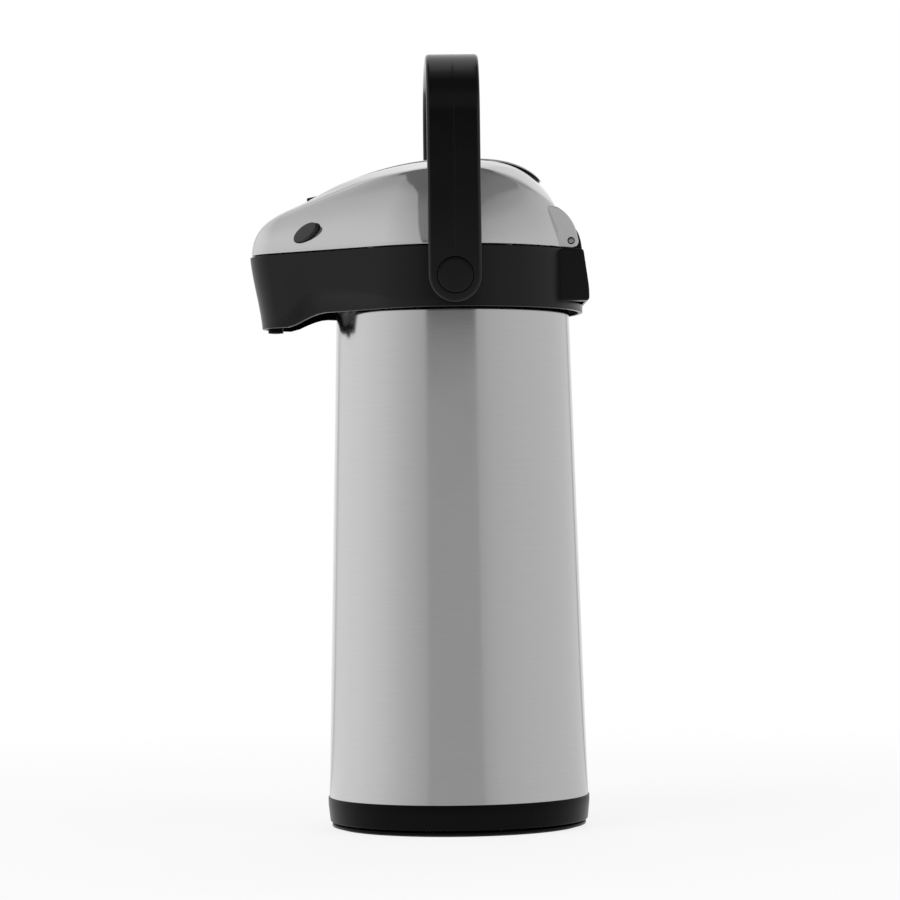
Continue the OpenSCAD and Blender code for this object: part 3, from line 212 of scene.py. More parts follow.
finishes = {
    "casingSteel": {
        "dark": 0.56, "light": 0.575, "metallic": 1.0, "roughness": (0.11, 0.15), "bump": 0.008,
        "stretch": (60, 60, 2600), "cloud": 22, "specular": 0.5,
    },
    "lidLacquer": {
        "dark": 0.56, "light": 0.59, "metallic": 0.85, "roughness": (0.05, 0.08), "bump": 0.006,
        "stretch": (2200, 2200, 2200), "cloud": 30, "specular": 0.5, "coat": 0.15,
    },
    "collarPlastic": {
        "dark": 0.0015, "light": 0.0022, "metallic": 0.0, "roughness": (0.24, 0.3), "bump": 0.05,
        "stretch": (1500, 1500, 1500), "cloud": 26, "specular": 0.27,
    },
    "handlePlastic": {
        "dark": 0.0015, "light": 0.0022, "metallic": 0.0, "roughness": (0.12, 0.18), "bump": 0.03,
        "stretch": (1500, 1500, 1500), "cloud": 30, "specular": 0.32,
    },
    "basePlastic": {
        "dark": 0.0015, "light": 0.0022, "metallic": 0.0, "roughness": (0.26, 0.34), "bump": 0.05,
        "stretch": (1500, 1500, 1500), "cloud": 26, "specular": 0.07,
    },
    "buttonPlastic": {
        "dark": 0.012, "light": 0.016, "metallic": 0.0, "roughness": (0.3, 0.38), "bump": 0.05,
        "stretch": (1500, 1500, 1500), "cloud": 26, "specular": 0.5,
    },
    "whitePlastic": {
        "dark": 0.7, "light": 0.75, "metallic": 0.0, "roughness": (0.34, 0.44), "bump": 0.05,
        "stretch": (900, 900, 900), "cloud": 24, "specular": 0.4,
    },
    "clearPlastic": {
        "dark": 0.66, "light": 0.72, "metallic": 0.0, "roughness": (0.28, 0.4), "bump": 0.06,
        "stretch": (500, 500, 500), "cloud": 24, "specular": 0.5, "transmission": 0.55,
    },
    "greyRubber": {
        "dark": 0.06, "light": 0.085, "metallic": 0.0, "roughness": (0.6, 0.75), "bump": 0.12,
        "stretch": (1100, 1100, 1100), "cloud": 30, "specular": 0.3,
    },
    "whiteRubber": {
        "dark": 0.62, "light": 0.7, "metallic": 0.0, "roughness": (0.5, 0.65), "bump": 0.1,
        "stretch": (1100, 1100, 1100), "cloud": 30, "specular": 0.35,
    },
    "linerGlass": {
        "dark": 0.74, "light": 0.8, "metallic": 0.9, "roughness": (0.03, 0.07), "bump": 0.01,
        "stretch": (90, 90, 90), "cloud": 12, "specular": 0.5, "coat": 0.5,
    },
    "pinSteel": {
        "dark": 0.5, "light": 0.58, "metallic": 1.0, "roughness": (0.2, 0.3), "bump": 0.05,
        "stretch": (2500, 300, 2500), "cloud": 60, "specular": 0.5,
    },
}

noise = {"low": 0.35, "high": 0.65, "grainDetail": 3, "cloudDetail": 2, "bumpDepth": 0.0005,
         "coatRoughness": 0.08}


def makeFinish(name, look):
    # fine grain gives the colour's change and the bump, and slow clouds change the gloss
    material = bpy.data.materials.new(name)
    material.use_nodes = True
    nodes, links = material.node_tree.nodes, material.node_tree.links
    shader = nodes["Principled BSDF"]
    place = nodes.new("ShaderNodeTexCoord")
    stretch = nodes.new("ShaderNodeMapping")
    stretch.inputs["Scale"].default_value = look["stretch"]
    grain = nodes.new("ShaderNodeTexNoise")
    grain.inputs["Scale"].default_value = 1
    grain.inputs["Detail"].default_value = noise["grainDetail"]
    cloud = nodes.new("ShaderNodeTexNoise")
    cloud.inputs["Scale"].default_value = look["cloud"]
    cloud.inputs["Detail"].default_value = noise["cloudDetail"]
    colour = nodes.new("ShaderNodeValToRGB")
    for stop, end, grey in zip(colour.color_ramp.elements, ("low", "high"), ("dark", "light")):
        stop.position = noise[end]
        stop.color = (*[look[grey]] * 3, 1)
    gloss = nodes.new("ShaderNodeMapRange")
    gloss.inputs["From Min"].default_value = noise["low"]
    gloss.inputs["From Max"].default_value = noise["high"]
    gloss.inputs["To Min"].default_value, gloss.inputs["To Max"].default_value = look["roughness"]
    bump = nodes.new("ShaderNodeBump")
    bump.inputs["Strength"].default_value = look["bump"]
    bump.inputs["Distance"].default_value = noise["bumpDepth"]
    links.new(place.outputs["Object"], stretch.inputs["Vector"])
    links.new(stretch.outputs["Vector"], grain.inputs["Vector"])
    links.new(place.outputs["Object"], cloud.inputs["Vector"])
    links.new(grain.outputs["Fac"], colour.inputs["Fac"])
    links.new(colour.outputs["Color"], shader.inputs["Base Color"])
    links.new(cloud.outputs["Fac"], gloss.inputs["Value"])
    links.new(gloss.outputs["Result"], shader.inputs["Roughness"])
    links.new(grain.outputs["Fac"], bump.inputs["Height"])
    links.new(bump.outputs["Normal"], shader.inputs["Normal"])
    shader.inputs["Metallic"].default_value = look["metallic"]
    shader.inputs["Specular IOR Level"].default_value = look["specular"]
    shader.inputs["Coat Weight"].default_value = look.get("coat", 0.0)
    shader.inputs["Coat Roughness"].default_value = noise["coatRoughness"]
    shader.inputs["Transmission Weight"].default_value = look.get("transmission", 0.0)
    return material


finish = {name: makeFinish(name, look) for name, look in finishes.items()}
nodeFinishes = {
    "casingSteel": ["outer_casing"],
    "linerGlass": ["glass_liner"],
    "greyRubber": ["liner_cushion", "liner_gasket", "outlet_seal", "foot_pad", "bellows"],
    "basePlastic": ["base_ring", "base_cap", "swivel_foot", "spout_nozzle", "pivot_studs", "plate_skirt",
                    "bellows_cap"],
    "buttonPlastic": ["lock_slider", "release_button_left", "release_button_right"],
    "collarPlastic": ["collar"],
    "handlePlastic": ["handle"],
    "lidLacquer": ["lid_shell", "push_plate"],
    "whitePlastic": ["lid_base", "slip_ring", "spill_ball"],
    "whiteRubber": ["mouth_gasket", "air_valve"],
    "clearPlastic": ["outlet_pipe", "tube_elbow", "dip_tube"],
    "pinSteel": ["hinge_pin", "lid_screws", "plate_pin", "return_spring", "button_springs", "swivel_washer",
                 "swivel_screw"],
}
for name, nodeNames in nodeFinishes.items():
    for nodeName in nodeNames:
        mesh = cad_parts[nodeName].data
        mesh.materials.clear()
        mesh.materials.append(finish[name])
print("finishes", len(finish))

# casing, base ring and foot

casing = {"bottomR": 73.7, "topR": 66.6, "bottomZ": 17.6, "topZ": 296.0, "wall": 0.9, "lip": 2.0,
          "shoulder": np.array([3.4, 6.5])}
shoulderStart = np.array([casing["topR"], casing["topZ"]]) - casing["shoulder"]
x1, z1 = shoulderStart
rise = np.linspace(0, 1, 24)[:, None]
sideOut = mix(np.array([casing["bottomR"], casing["bottomZ"]]), np.array([casing["topR"], z1]), rise)
sideIn = sideOut[::-1] - [casing["wall"], 0]
casingProfile = np.concatenate([
    sideOut[:-1],
    shoulderStart + casing["shoulder"] * arcPoints(0, 0, 1, 0, math.pi / 2, 14),
    [[x1 - casing["lip"], casing["topZ"]], [x1 - casing["lip"], casing["topZ"] - casing["wall"]]],
    shoulderStart + (casing["shoulder"] - casing["wall"]) * arcPoints(0, 0, 1, math.pi / 2, 0, 10),
    sideIn[1:],
])
makePiece("casing", [turned(casingProfile, 256)], finish["casingSteel"], "jug",
          ["outer_casing"])

base = {"r": 74.4, "footR": 73.3, "low": 3.6, "high": 17.6, "draftHigh": 14.0, "lipR": 72.5, "lipIn": 70.1,
        "lipHigh": 23.6, "floor": 6.1, "hubR": 46.0, "hubOut": 48.4, "hubHigh": 16.0,
        "corners": [0.5, 0.9, 3.0, 0.35, 0.3, 0.4, 0.4, 0.6, 0.6, 0.4, 0.4]}
baseProfile = softened(cornersOf(
    base, "hubR low, footR low, r draftHigh, r high, lipR high, lipR lipHigh, lipIn lipHigh, lipIn floor, "
    "hubOut floor, hubOut hubHigh, hubR hubHigh"), base["corners"])
makePiece("baseRing", [turned(baseProfile, 256)], finish["basePlastic"], "jug",
          ["base_ring"])

foot = {"r": 72.3, "low": 0.9, "high": 2.6, "bossR": 13.0, "bossOut": 14.5, "padIn": 62.0, "padOut": 68.6,
        "padHigh": 1.4, "hubR": 10.0, "hubHigh": 6.1, "screwR": 2.0, "screwLow": 2.6,
        "corners": [0, 0.4, 0.4, 0, 0, 0, 0, 0.6, 0.6, 0.5, 0.4, 0.2, 0, 0]}
footProfile = softened(cornersOf(
    foot, "axis axis, bossR axis, bossOut low, padIn low, padIn padHigh, padOut padHigh, padOut low, r low, "
    "r high, hubR high, hubR hubHigh, screwR hubHigh, screwR screwLow, axis screwLow"), foot["corners"])
makePiece("swivelFoot", [turned(footProfile, 224, wrap=False)], finish["basePlastic"], "turntable",
          ["swivel_foot"])

# outlines in plan

outlineSteps = {"back": 8, "round": 66, "flank": 14, "nose": 28}


def outline(bigX, bigR, tip, noseR, backX=None):
    # half of it goes round the big circle, along the line that touches both circles and round the nose
    noseX = noseR - tip
    turn = math.pi / 2 + math.asin((bigR - noseR) / (bigX - noseX))
    start = 0.0 if backX is None else math.acos((backX - bigX) / bigR)
    around = arcPoints(bigX, 0, bigR, start, turn, outlineSteps["round"] + 1)
    nose = arcPoints(noseX, 0, noseR, turn, math.pi, outlineSteps["nose"] + 1)
    along = mix(around[-1], nose[0], np.arange(1, outlineSteps["flank"])[:, None] / outlineSteps["flank"])
    parts = [around, along, nose]
    if backX is not None:
        across = bigR * math.sin(start) * np.arange(outlineSteps["back"]) / outlineSteps["back"]
        parts.insert(0, np.stack([np.full_like(across, backX), across], -1))
    half = np.concatenate(parts)
    return np.concatenate([half, half[-2:0:-1] * [1, -1]])


# collar with its spout, deck, neck tube and hinge block

collar = {
    "r": 74.3, "wall": 2.3, "lowZ": 291.6, "rimZ": 325.4, "tip": 115.5, "noseR": 24.0, "fallBack": 6.6,
    "footZ": 284.3, "footX": -93.5, "arch": 19.0, "band": 3.0, "tuckHigh": 12.0, "tuckDeep": 4.5,
    "rimEdge": 0.55, "lowEdge": 0.6, "deckZ": 316.0, "deckLow": 313.5, "mouthR": 26.5, "neckR": 27.0,
    "neckOut": 30.0, "neckZ": 303.0, "flangeR": 72.5, "flangeIn": 62.2, "flangeZ": 296.3, "flangeTop": 298.8,
    "tuckStart": 5, "tuckFull": 74, "tuckLeave": 80, "tuckEnd": 105, "foldPower": 1.8,
    "tubeCorners": [0.8, 0.2, 0.2, 0.4, 0.4, 0.6],
}


def edgeHeight(x):
    # the wall's lower edge rises from the spout's foot to the casing's top along a quarter wave
    climb = np.sin(math.pi / 2 * ramp(x, collar["footX"], collar["footX"] + collar["arch"]))
    return mix(collar["footZ"], collar["lowZ"], climb)


def tuckShare(x):
    # the side folds in over the spout's foot and comes out again before the nose
    grows = ease(ramp(-x, collar["tuckStart"], collar["tuckFull"]))
    return grows * (1 - ease(ramp(-x, collar["tuckLeave"], collar["tuckEnd"])))


def wallRing(low, high, inset, lift=0.0):
    # low climbs the tucked band and high climbs from there to the rim; the nose falls back downwards
    above = collar["rimZ"] - collar["footZ"] - collar["band"]
    height = collar["footZ"] + collar["band"] * low + above * high
    u = bound((collar["rimZ"] - height) / (collar["rimZ"] - collar["footZ"]))
    tip = collar["tip"] - collar["fallBack"] * (u + ease(u)) / 2
    face = outline(0, collar["r"], tip, collar["noseR"])
    back = outline(0, *(size - collar["wall"] for size in (collar["r"], tip, collar["noseR"])))
    x = face[:, 0]
    fold = 1 - (low ** collar["foldPower"] + ease(low)) / 2
    share = (inset + collar["tuckDeep"] * tuckShare(x) * fold) / collar["wall"]
    lowest = edgeHeight(x)
    band = mix(collar["band"], collar["tuckHigh"], tuckShare(x))
    z = lowest + band * low + (collar["rimZ"] - lowest - band) * high + lift
    return np.column_stack([mix(face, back, share[:, None]), z])


rim, low, wall = collar["rimEdge"], collar["lowEdge"], collar["wall"]
bendIn = np.linspace(0, math.pi / 2, 5)
wallRings = [wallRing(0, 0, low * (1 - math.sin(a)), low * (1 - math.cos(a))) for a in bendIn]
wallRings += [wallRing(s, 0, 0) for s in np.linspace(0.1, 1, 12)]
wallRings += [wallRing(1, s, 0) for s in np.linspace(0.05, 0.97, 18)]
wallRings += [wallRing(1, 1, rim * (1 - math.cos(a)), -rim * (1 - math.sin(a))) for a in bendIn]
wallRings += [wallRing(1, 1, wall - rim * (1 - math.cos(a)), -rim * (1 - math.sin(a))) for a in bendIn[::-1]]
wallRings += [wallRing(1, s, wall) for s in (0.9, 0.6, 0.3, 0)]
wallRings += [wallRing(s, 0, wall) for s in (0.6, 0)]
wallShell = loft(np.stack(wallRings), wrap=True)

deckPlan = wallRing(1, 0.5, wall / 2)[:, :2]
polar = np.arctan2(deckPlan[:, 1], deckPlan[:, 0])
tube = softened(cornersOf(
    collar, "mouthR deckZ, mouthR deckLow, neckR deckLow, neckR neckZ, neckOut neckZ, neckOut deckLow"),
    collar["tubeCorners"])
tubeRings = np.stack([np.outer(tube[:, 0], np.cos(polar)), np.outer(tube[:, 0], np.sin(polar)),
                      np.broadcast_to(tube[:, 1:], (len(tube), len(polar)))], -1)
deckEdges = [np.column_stack([deckPlan, np.full(len(polar), collar[side])]) for side in ("deckLow", "deckZ")]
deckShell = loft(np.concatenate([tubeRings, np.stack(deckEdges)]), wrap=True)

flangeShell = turned(softened(cornersOf(
    collar, "flangeIn flangeZ, flangeR flangeZ, flangeR flangeTop, flangeIn flangeTop"), 0.3), 160)

nozzle = {"x": -101.3, "r": 4.35, "boreR": 2.6, "low": 282.1, "high": 298.3, "flangeR": 5.0,
          "flangeZ": 291.4, "flangeTop": 293.4, "corners": [0.4, 0.5, 0.1, 0.2, 0.2, 0.1, 0.4, 0.4],
          "holeR": 4.42, "holeLow": 270.0, "holeHigh": 310.0}

# floor of the spout: its width at each X is that of the wall's lower plan, and it follows the lower edge
spoutFloor = {"gap": 4.6, "thick": 2.4, "round": 12, "endX": -64.2, "tuckShare": 0.98, "steps": 41}
floorR, floorNose = collar["r"] - wall / 2, collar["noseR"] - wall / 2
floorTip = collar["tip"] - collar["fallBack"] - wall / 2
noseX = floorNose - floorTip
turn = math.pi / 2 + math.asin((floorR - floorNose) / -noseX)
along = np.concatenate([
    -floorTip + spoutFloor["round"] * (1 - np.cos(np.linspace(0, math.pi / 2, 26))),
    np.linspace(spoutFloor["round"] - floorTip, spoutFloor["endX"], 50)[1:],
])
leaveX, leaveY = floorR * math.cos(turn), floorR * math.sin(turn)
meetX, meetY = noseX + floorNose * math.cos(turn), floorNose * math.sin(turn)
noseHalf = np.sqrt(np.maximum(floorNose**2 - (along - noseX) ** 2, 0))
roundHalf = np.sqrt(np.maximum(floorR**2 - along**2, 0))
flankHalf = leaveY + (meetY - leaveY) * (along - leaveX) / (meetX - leaveX)
half = np.where(along < meetX, noseHalf, np.where(along < leaveX, flankHalf, roundHalf))
half = half - collar["tuckDeep"] * tuckShare(along) * spoutFloor["tuckShare"]
across = np.linspace(-1, 1, spoutFloor["steps"])
across = np.concatenate([across, across[::-1]])
floorLow = edgeHeight(along) + spoutFloor["gap"]
floorZ = floorLow[:, None] + np.repeat([0, spoutFloor["thick"]], spoutFloor["steps"])
floorX = np.broadcast_to(along[:, None], floorZ.shape)
floorRings = np.stack([floorX, half[:, None] * across[None], floorZ], -1)
atNozzle = Matrix.Translation((nozzle["x"], 0, 0))
nozzleHole = placed(rod(nozzle["holeR"], nozzle["holeLow"], nozzle["holeHigh"], 48), atNozzle)
floorShell = carved([loft(floorRings, caps=True)], [nozzleHole])

# the block that carries the lid's pin, and its knuckle between the lid's ears
hinge = {"pinX": 66.2, "pinZ": 330.0, "halfWidth": 44.0, "frontX": 50.0, "backX": 75.8, "waistZ": 303.0,
         "lowZ": 296.0, "shoulderX": 72.6, "blockX": 72.8, "topZ": 325.1, "edge": 0.6,
         "blockCorners": [2.5, 2.0, 7.0, 2.0, 2.5], "knuckleHalf": 35.5, "knuckleX": 57.0, "knuckleZ": 339.2,
         "riseX": 71.8, "riseZ": 331.0, "bendX": 70.0, "bendZ": 336.0, "crownZ": 339.6, "rootZ": 324.1,
         "knuckleCorners": [2.5, 2.0, 7.0, 2.5, 2.5, 2.0, 3.0, 8.6, 2.5, 2.5]}
blockOutline = softened(cornersOf(
    hinge, "frontX lowZ, backX lowZ, backX waistZ, blockX topZ, frontX topZ"), hinge["blockCorners"])
blockShell = slab(blockOutline, -hinge["halfWidth"], hinge["halfWidth"], hinge["edge"])
knuckleOutline = softened(cornersOf(
    hinge, "frontX lowZ, backX lowZ, backX waistZ, shoulderX topZ, riseX riseZ, bendX bendZ, pinX crownZ, "
    "knuckleX knuckleZ, knuckleX rootZ, frontX rootZ"), hinge["knuckleCorners"], 9)
knuckleShell = slab(knuckleOutline, -hinge["knuckleHalf"], hinge["knuckleHalf"], hinge["edge"])

pivot = {"z": 308.0, "bossR": 11.0, "bossIn": 70.0, "bossY": 77.0, "capR": 9.86, "capLow": 80.3,
         "capRim": 82.85, "capHigh": 82.9, "capFlat": 8.46, "shaftR": 4.0, "neckR": 6.0, "sinkR": 9.94,
         "sinkLow": 80.2, "sinkHigh": 82.6, "sinkRimR": 10.5, "sinkRim": 83.3, "clear": 90.0}
quarterTurn = Matrix.Rotation(math.radians(90), 4, "X")
toRight = Matrix.Translation((0, 0, pivot["z"])) @ quarterTurn
bossShell = placed(rod(pivot["bossR"], pivot["bossIn"], pivot["bossY"], 96, (0.3, 0.5)), toRight)
makePiece("collar", [wallShell, deckShell, flangeShell, floorShell, blockShell, knuckleShell, bossShell,
                     mirrored(bossShell)], finish["collarPlastic"], "jug", ["collar"])

nozzleProfile = softened(cornersOf(
    nozzle, "boreR low, r low, r flangeZ, flangeR flangeZ, flangeR flangeTop, r flangeTop, r high, "
    "boreR high"), nozzle["corners"])
makePiece("spoutNozzle", [placed(turned(nozzleProfile, 64), atNozzle)], finish["basePlastic"], "jug",
          ["spout_nozzle"])

# handle: a flat strap with rounded edges and half-round ends at its pivots, bent over the top

strap = {"halfT": 2.85, "halfW": 14.7, "edge": 2.1, "y": 80.15, "bendR": 34.0, "bendTurn": math.radians(82),
         "topZ": 437.4, "seam": 0.1, "seamHalf": 0.45, "flatFrom": 2.0, "legSteps": 13, "endSteps": 48}
crownR = strap["bendR"] + (strap["y"] - strap["bendR"]) / math.cos(strap["bendTurn"])
crownZ = strap["topZ"] - strap["halfT"] - crownR
bendZ = crownZ + (crownR - strap["bendR"]) * math.sin(strap["bendTurn"])
corner = np.linspace(0, math.pi / 2, 9)
flatEnd = strap["halfW"] - strap["edge"]
seamAcross = strap["seamHalf"] * np.array([0, 0.5, 1, 1.6])
seamThick = strap["halfT"] + strap["seam"] * np.array([1, 0.6, 0, 0])
flatAcross = np.linspace(strap["flatFrom"], flatEnd, 8)[:-1]
outAcross = np.concatenate([seamAcross, flatAcross, flatEnd + strap["edge"] * np.sin(corner)])
outThick = np.concatenate([seamThick, np.full(len(flatAcross), strap["halfT"]),
                           strap["halfT"] - strap["edge"] + strap["edge"] * np.cos(corner)])
halfAcross = np.concatenate([outAcross, outAcross[:3:-1], [0]])
halfThick = np.concatenate([outThick, -outThick[:3:-1], [-strap["halfT"]]])
sectionAcross = np.concatenate([halfAcross, -halfAcross[-2:0:-1]])
sectionThick = np.concatenate([halfThick, halfThick[-2:0:-1]])

legZ = np.linspace(pivot["z"], bendZ, strap["legSteps"] + 1)[:-1]
bendA = np.linspace(0, strap["bendTurn"], 40)
crownA = np.linspace(strap["bendTurn"], math.pi / 2, 12)[1:]
bendY = strap["y"] - strap["bendR"] + strap["bendR"] * np.cos(bendA)
pathY = np.concatenate([np.full_like(legZ, strap["y"]), bendY, crownR * np.cos(crownA)])
pathZ = np.concatenate([legZ, bendZ + strap["bendR"] * np.sin(bendA), crownZ + crownR * np.sin(crownA)])
pathLean = np.concatenate([np.zeros_like(legZ), bendA, crownA])
pathY = np.concatenate([pathY, -pathY[-2::-1]])
pathZ = np.concatenate([pathZ, pathZ[-2::-1]])
pathLean = np.concatenate([pathLean, math.pi - pathLean[-2::-1]])
strapRings = np.stack([np.broadcast_to(-sectionAcross, (len(pathY), len(sectionAcross))),
                       pathY[:, None] + np.cos(pathLean)[:, None] * sectionThick,
                       pathZ[:, None] + np.sin(pathLean)[:, None] * sectionThick], -1)
endTurn = np.linspace(0, math.pi, strap["endSteps"] + 1)[:, None]
endAcross, endHeight = halfAcross * np.cos(endTurn), pivot["z"] - halfAcross * np.sin(endTurn)
endRings = np.stack([endAcross, strap["y"] + np.broadcast_to(halfThick, endAcross.shape), endHeight], -1)
endShell = (endRings.reshape(-1, 3), gridFaces(*endAcross.shape))
strapShell = shellOf(meshOf("strap", [loft(strapRings), endShell, mirrored(endShell)]))
sinkProfile = softened(cornersOf(
    pivot, "axis sinkLow, sinkR sinkLow, sinkR sinkHigh, sinkRimR sinkRim, sinkRimR clear, axis clear"),
    [0, 0, 0.3, 0, 0, 0])
counterbore = placed(turned(sinkProfile, 96, wrap=False), toRight)
makePiece("handleBail", [carved([strapShell], [counterbore, mirrored(counterbore)])],
          finish["handlePlastic"], "handle", ["handle"])

capProfile = softened(cornersOf(
    pivot, "axis bossIn, shaftR bossIn, shaftR bossY, neckR bossY, neckR capLow, capR capLow, capR capRim, "
    "capFlat capHigh, axis capHigh"), [0, 0.2, 0, 0.2, 0, 0.1, 0.5, 0.6, 0])
capShell = placed(turned(capProfile, 96, wrap=False), toRight)
makePiece("pivotCaps", [capShell, mirrored(capShell)], finish["handlePlastic"], "jug",
          ["pivot_studs"])

# lid: the side leans in from the rim to the crease, and a band rises from there to the opening

lid = {
    "rimZ": 326.2, "topZ": 380.8, "r": 73.4, "tip": 114.6, "noseR": 23.4, "wall": 2.2, "edge": 0.5,
    "cornerX": 59.0, "backX": 56.0, "backFrom": 50.0, "backHalf": 39.0, "apexX": 5.0,
    "creaseX": 8.0, "creaseR": 60.0, "creaseTip": 92.0, "creaseNose": 12.0, "creaseBackX": 58.0,
    "crestX": 2.0, "creaseDrop": 10.3, "frontFall": 18.2, "frontLate": 0.3, "backFall": 20.9,
    "backPower": 1.9, "bendLow": 0.965, "bendHigh": 0.07, "sideBend": 0.25, "sideMiddle": 0.5,
    "noseMiddle": 0.75, "crown": 4.8, "crownFrom": 55.0, "crownTo": 75.0, "lipWide": 1.5, "lipDeep": 4.0,
    "lipBack": 5.0, "lipThin": 0.65, "underLift": 1.2,
}
plate = {"x": 15.0, "r": 33.0, "tip": 75.0, "noseR": 11.0, "t": 2.0, "frontFall": 19.6, "backFall": 10.3,
         "sideFall": 3.3, "gap": 1.0, "openTip": 84.5, "openNose": 12.0, "openBackX": 48.4, "backX": 48.0,
         "drawn": 3.5, "drawnFrom": 18.0, "backT": 0.8, "thinFrom": 8.0, "thinTo": 30.0, "edge": 0.6,
         "sunk": 0.6, "backSunk": 2.5, "noseSunk": 1.2, "noseFrom": 72.0, "noseTo": 80.0}


def creaseHeight(x):
    # falls from a crest near the middle: as a mix of a square and a cube to the nose, as a power to the back
    ahead = ramp(-x, -lid["crestX"], lid["creaseTip"])
    behind = np.maximum(x - lid["crestX"], 0) / (lid["creaseBackX"] - lid["crestX"])
    front = lid["frontFall"] * ahead**2 * (1 - lid["frontLate"] + lid["frontLate"] * ahead)
    return lid["topZ"] - lid["creaseDrop"] - front - lid["backFall"] * behind ** lid["backPower"]


def plateHeight(x, y):
    # falls from the apex as a square towards the nose and the sides, and as a cube towards the back
    ahead = np.maximum(lid["apexX"] - x, 0) / (lid["apexX"] + plate["tip"])
    behind = np.maximum(x - lid["apexX"], 0) / (plate["backX"] - lid["apexX"])
    return lid["topZ"] - plate["sideFall"] * (y / plate["r"]) ** 2 - plate["frontFall"] * ahead**2 \
        - plate["backFall"] * behind**3


def steepShare(x):
    # how much of the plate's steep fall at the back is reached
    return ramp(x, lid["apexX"], plate["backX"]) ** 3


def openingHeight(p):
    # the opening's edge lies a little lower than the plate, lowest at the back and at the nose
    x, y = p[:, 0], p[:, 1]
    noseDrop = plate["noseSunk"] * ease(ramp(-x, plate["noseFrom"], plate["noseTo"]))
    return plateHeight(x, y) - plate["sunk"] - plate["backSunk"] * steepShare(x) - noseDrop


def lidPlan(d):
    # the back is set in between the ears
    p = outline(0, lid["r"] - d, lid["tip"] - d, lid["noseR"] - d, lid["cornerX"] - d)
    between = (p[:, 0] > lid["backFrom"]) & (np.abs(p[:, 1]) < lid["backHalf"])
    return p + np.outer(between, [lid["backX"] - lid["cornerX"], 0])


def creasePlan(d):
    return outline(lid["creaseX"], lid["creaseR"] - d, lid["creaseTip"] - d, lid["creaseNose"] - d,
                   lid["creaseBackX"] - d)


def drawnBack(p):
    # the plate's plan and its opening are drawn out a little towards the hinge
    return p + np.outer(plate["drawn"] * ramp(p[:, 0], plate["drawnFrom"], plate["backX"]) ** 1.5, [1, 0])


def openingPlan(d):
    return drawnBack(outline(plate["x"], plate["r"] + plate["gap"] + d, plate["openTip"] + d,
                             plate["openNose"] + d, plate["openBackX"] + d))


def sideRing(t, d):
    # a parabola from the rim to the crease whose middle point stands over the rim, most of all at the nose
    below, above = lidPlan(d), creasePlan(d)
    nose = bound(-below[:, 0] / lid["tip"])
    bend = mix(below, above, (lid["sideBend"] * (1 - nose))[:, None])
    top = creaseHeight(above[:, 0]) - d
    middle = mix(lid["rimZ"], top, mix(lid["sideMiddle"], lid["noseMiddle"], nose))
    a, b, c = (1 - t) ** 2, 2 * t * (1 - t), t * t
    return np.column_stack([a * below + b * bend + c * above, a * lid["rimZ"] + b * middle + c * top])


def bandRing(t, d):
    # from the crease to the opening, crowned except at the nose
    below, above = creasePlan(0), openingPlan(0)
    crown = lid["crown"] * (1 - ease(ramp(-above[:, 0], lid["crownFrom"], lid["crownTo"])))
    z = mix(creaseHeight(below[:, 0]), openingHeight(above), t) + crown * t * (1 - t) - d
    return np.column_stack([mix(below, above, t), z])


def lipRing(d, drop, backDrop):
    # the opening's wall goes down, and it is thinner where the plate falls steeply
    edge, out = openingPlan(0), openingPlan(lid["lipWide"])
    steep = steepShare(edge[:, 0])
    share = d / lid["lipWide"] * (1 - lid["lipThin"] * steep)
    z = openingHeight(edge) - mix(drop, backDrop, steep)
    return np.column_stack([mix(edge, out, share[:, None]), z])


def creaseBend(a, corner, b, t):
    # a parabola between two rings, with a third as its corner
    return (1 - t) ** 2 * a + 2 * t * (1 - t) * corner + t * t * b


lift = np.array([0, 0, 1.0])
root = lipRing(lid["lipWide"], lid["wall"], lid["lipBack"])
under = mix(sideRing(1, lid["wall"]), root, 0.5) + lift * lid["underLift"]
bendStart, bendCorner, bendEnd = sideRing(lid["bendLow"], 0), sideRing(1, 0), bandRing(lid["bendHigh"], 0)
lidRings = [sideRing(0, lid["edge"]), sideRing(0, lid["edge"] * 0.3) + lift * lid["edge"] * 0.25]
lidRings += [sideRing(t, 0) for t in np.linspace(0.012, lid["bendLow"], 26)]
lidRings += [creaseBend(bendStart, bendCorner, bendEnd, t) for t in np.linspace(0.2, 0.8, 4)]
lidRings += [bandRing(t, 0) for t in np.linspace(lid["bendHigh"], 0.97, 14)]
lidRings += [bandRing(1, 0.08), lipRing(0, 0.5, 0.5)]
lidRings += [lipRing(d, lid["lipDeep"], lid["lipDeep"]) for d in (0, lid["lipWide"])]
lidRings += [root, under]
lidRings += [sideRing(t, lid["wall"]) for t in (1, 0.8, 0.6, 0.4, 0.2, 0)]

button = {"x": -82.5, "y": 32.8, "z": 336.6, "long": 8.7, "short": 4.2, "len": 6.0,
          "tilt": math.radians(76.1), "turn": math.radians(56.7), "spin": math.radians(65.8),
          "proud": 2.6, "proudFrom": -1.0, "proudTo": 0.2, "edge": 0.4, "high": 0.5, "fit": 0.35,
          "flare": 0.7, "pocketLow": -5.0, "flareLow": -1.15, "flareHigh": -0.65, "pocketHigh": 4.0}


def buttonPlace(side):
    # the button's oval lies square to the sloping side, with its long axis along the crease
    turn = Matrix.Rotation(side * (math.pi - button["turn"]), 4, "Z")
    tilt, spin = Matrix.Rotation(button["tilt"], 4, "Y"), Matrix.Rotation(side * button["spin"], 4, "Z")
    return Matrix.Translation((button["x"], side * button["y"], button["z"])) @ turn @ tilt @ spin


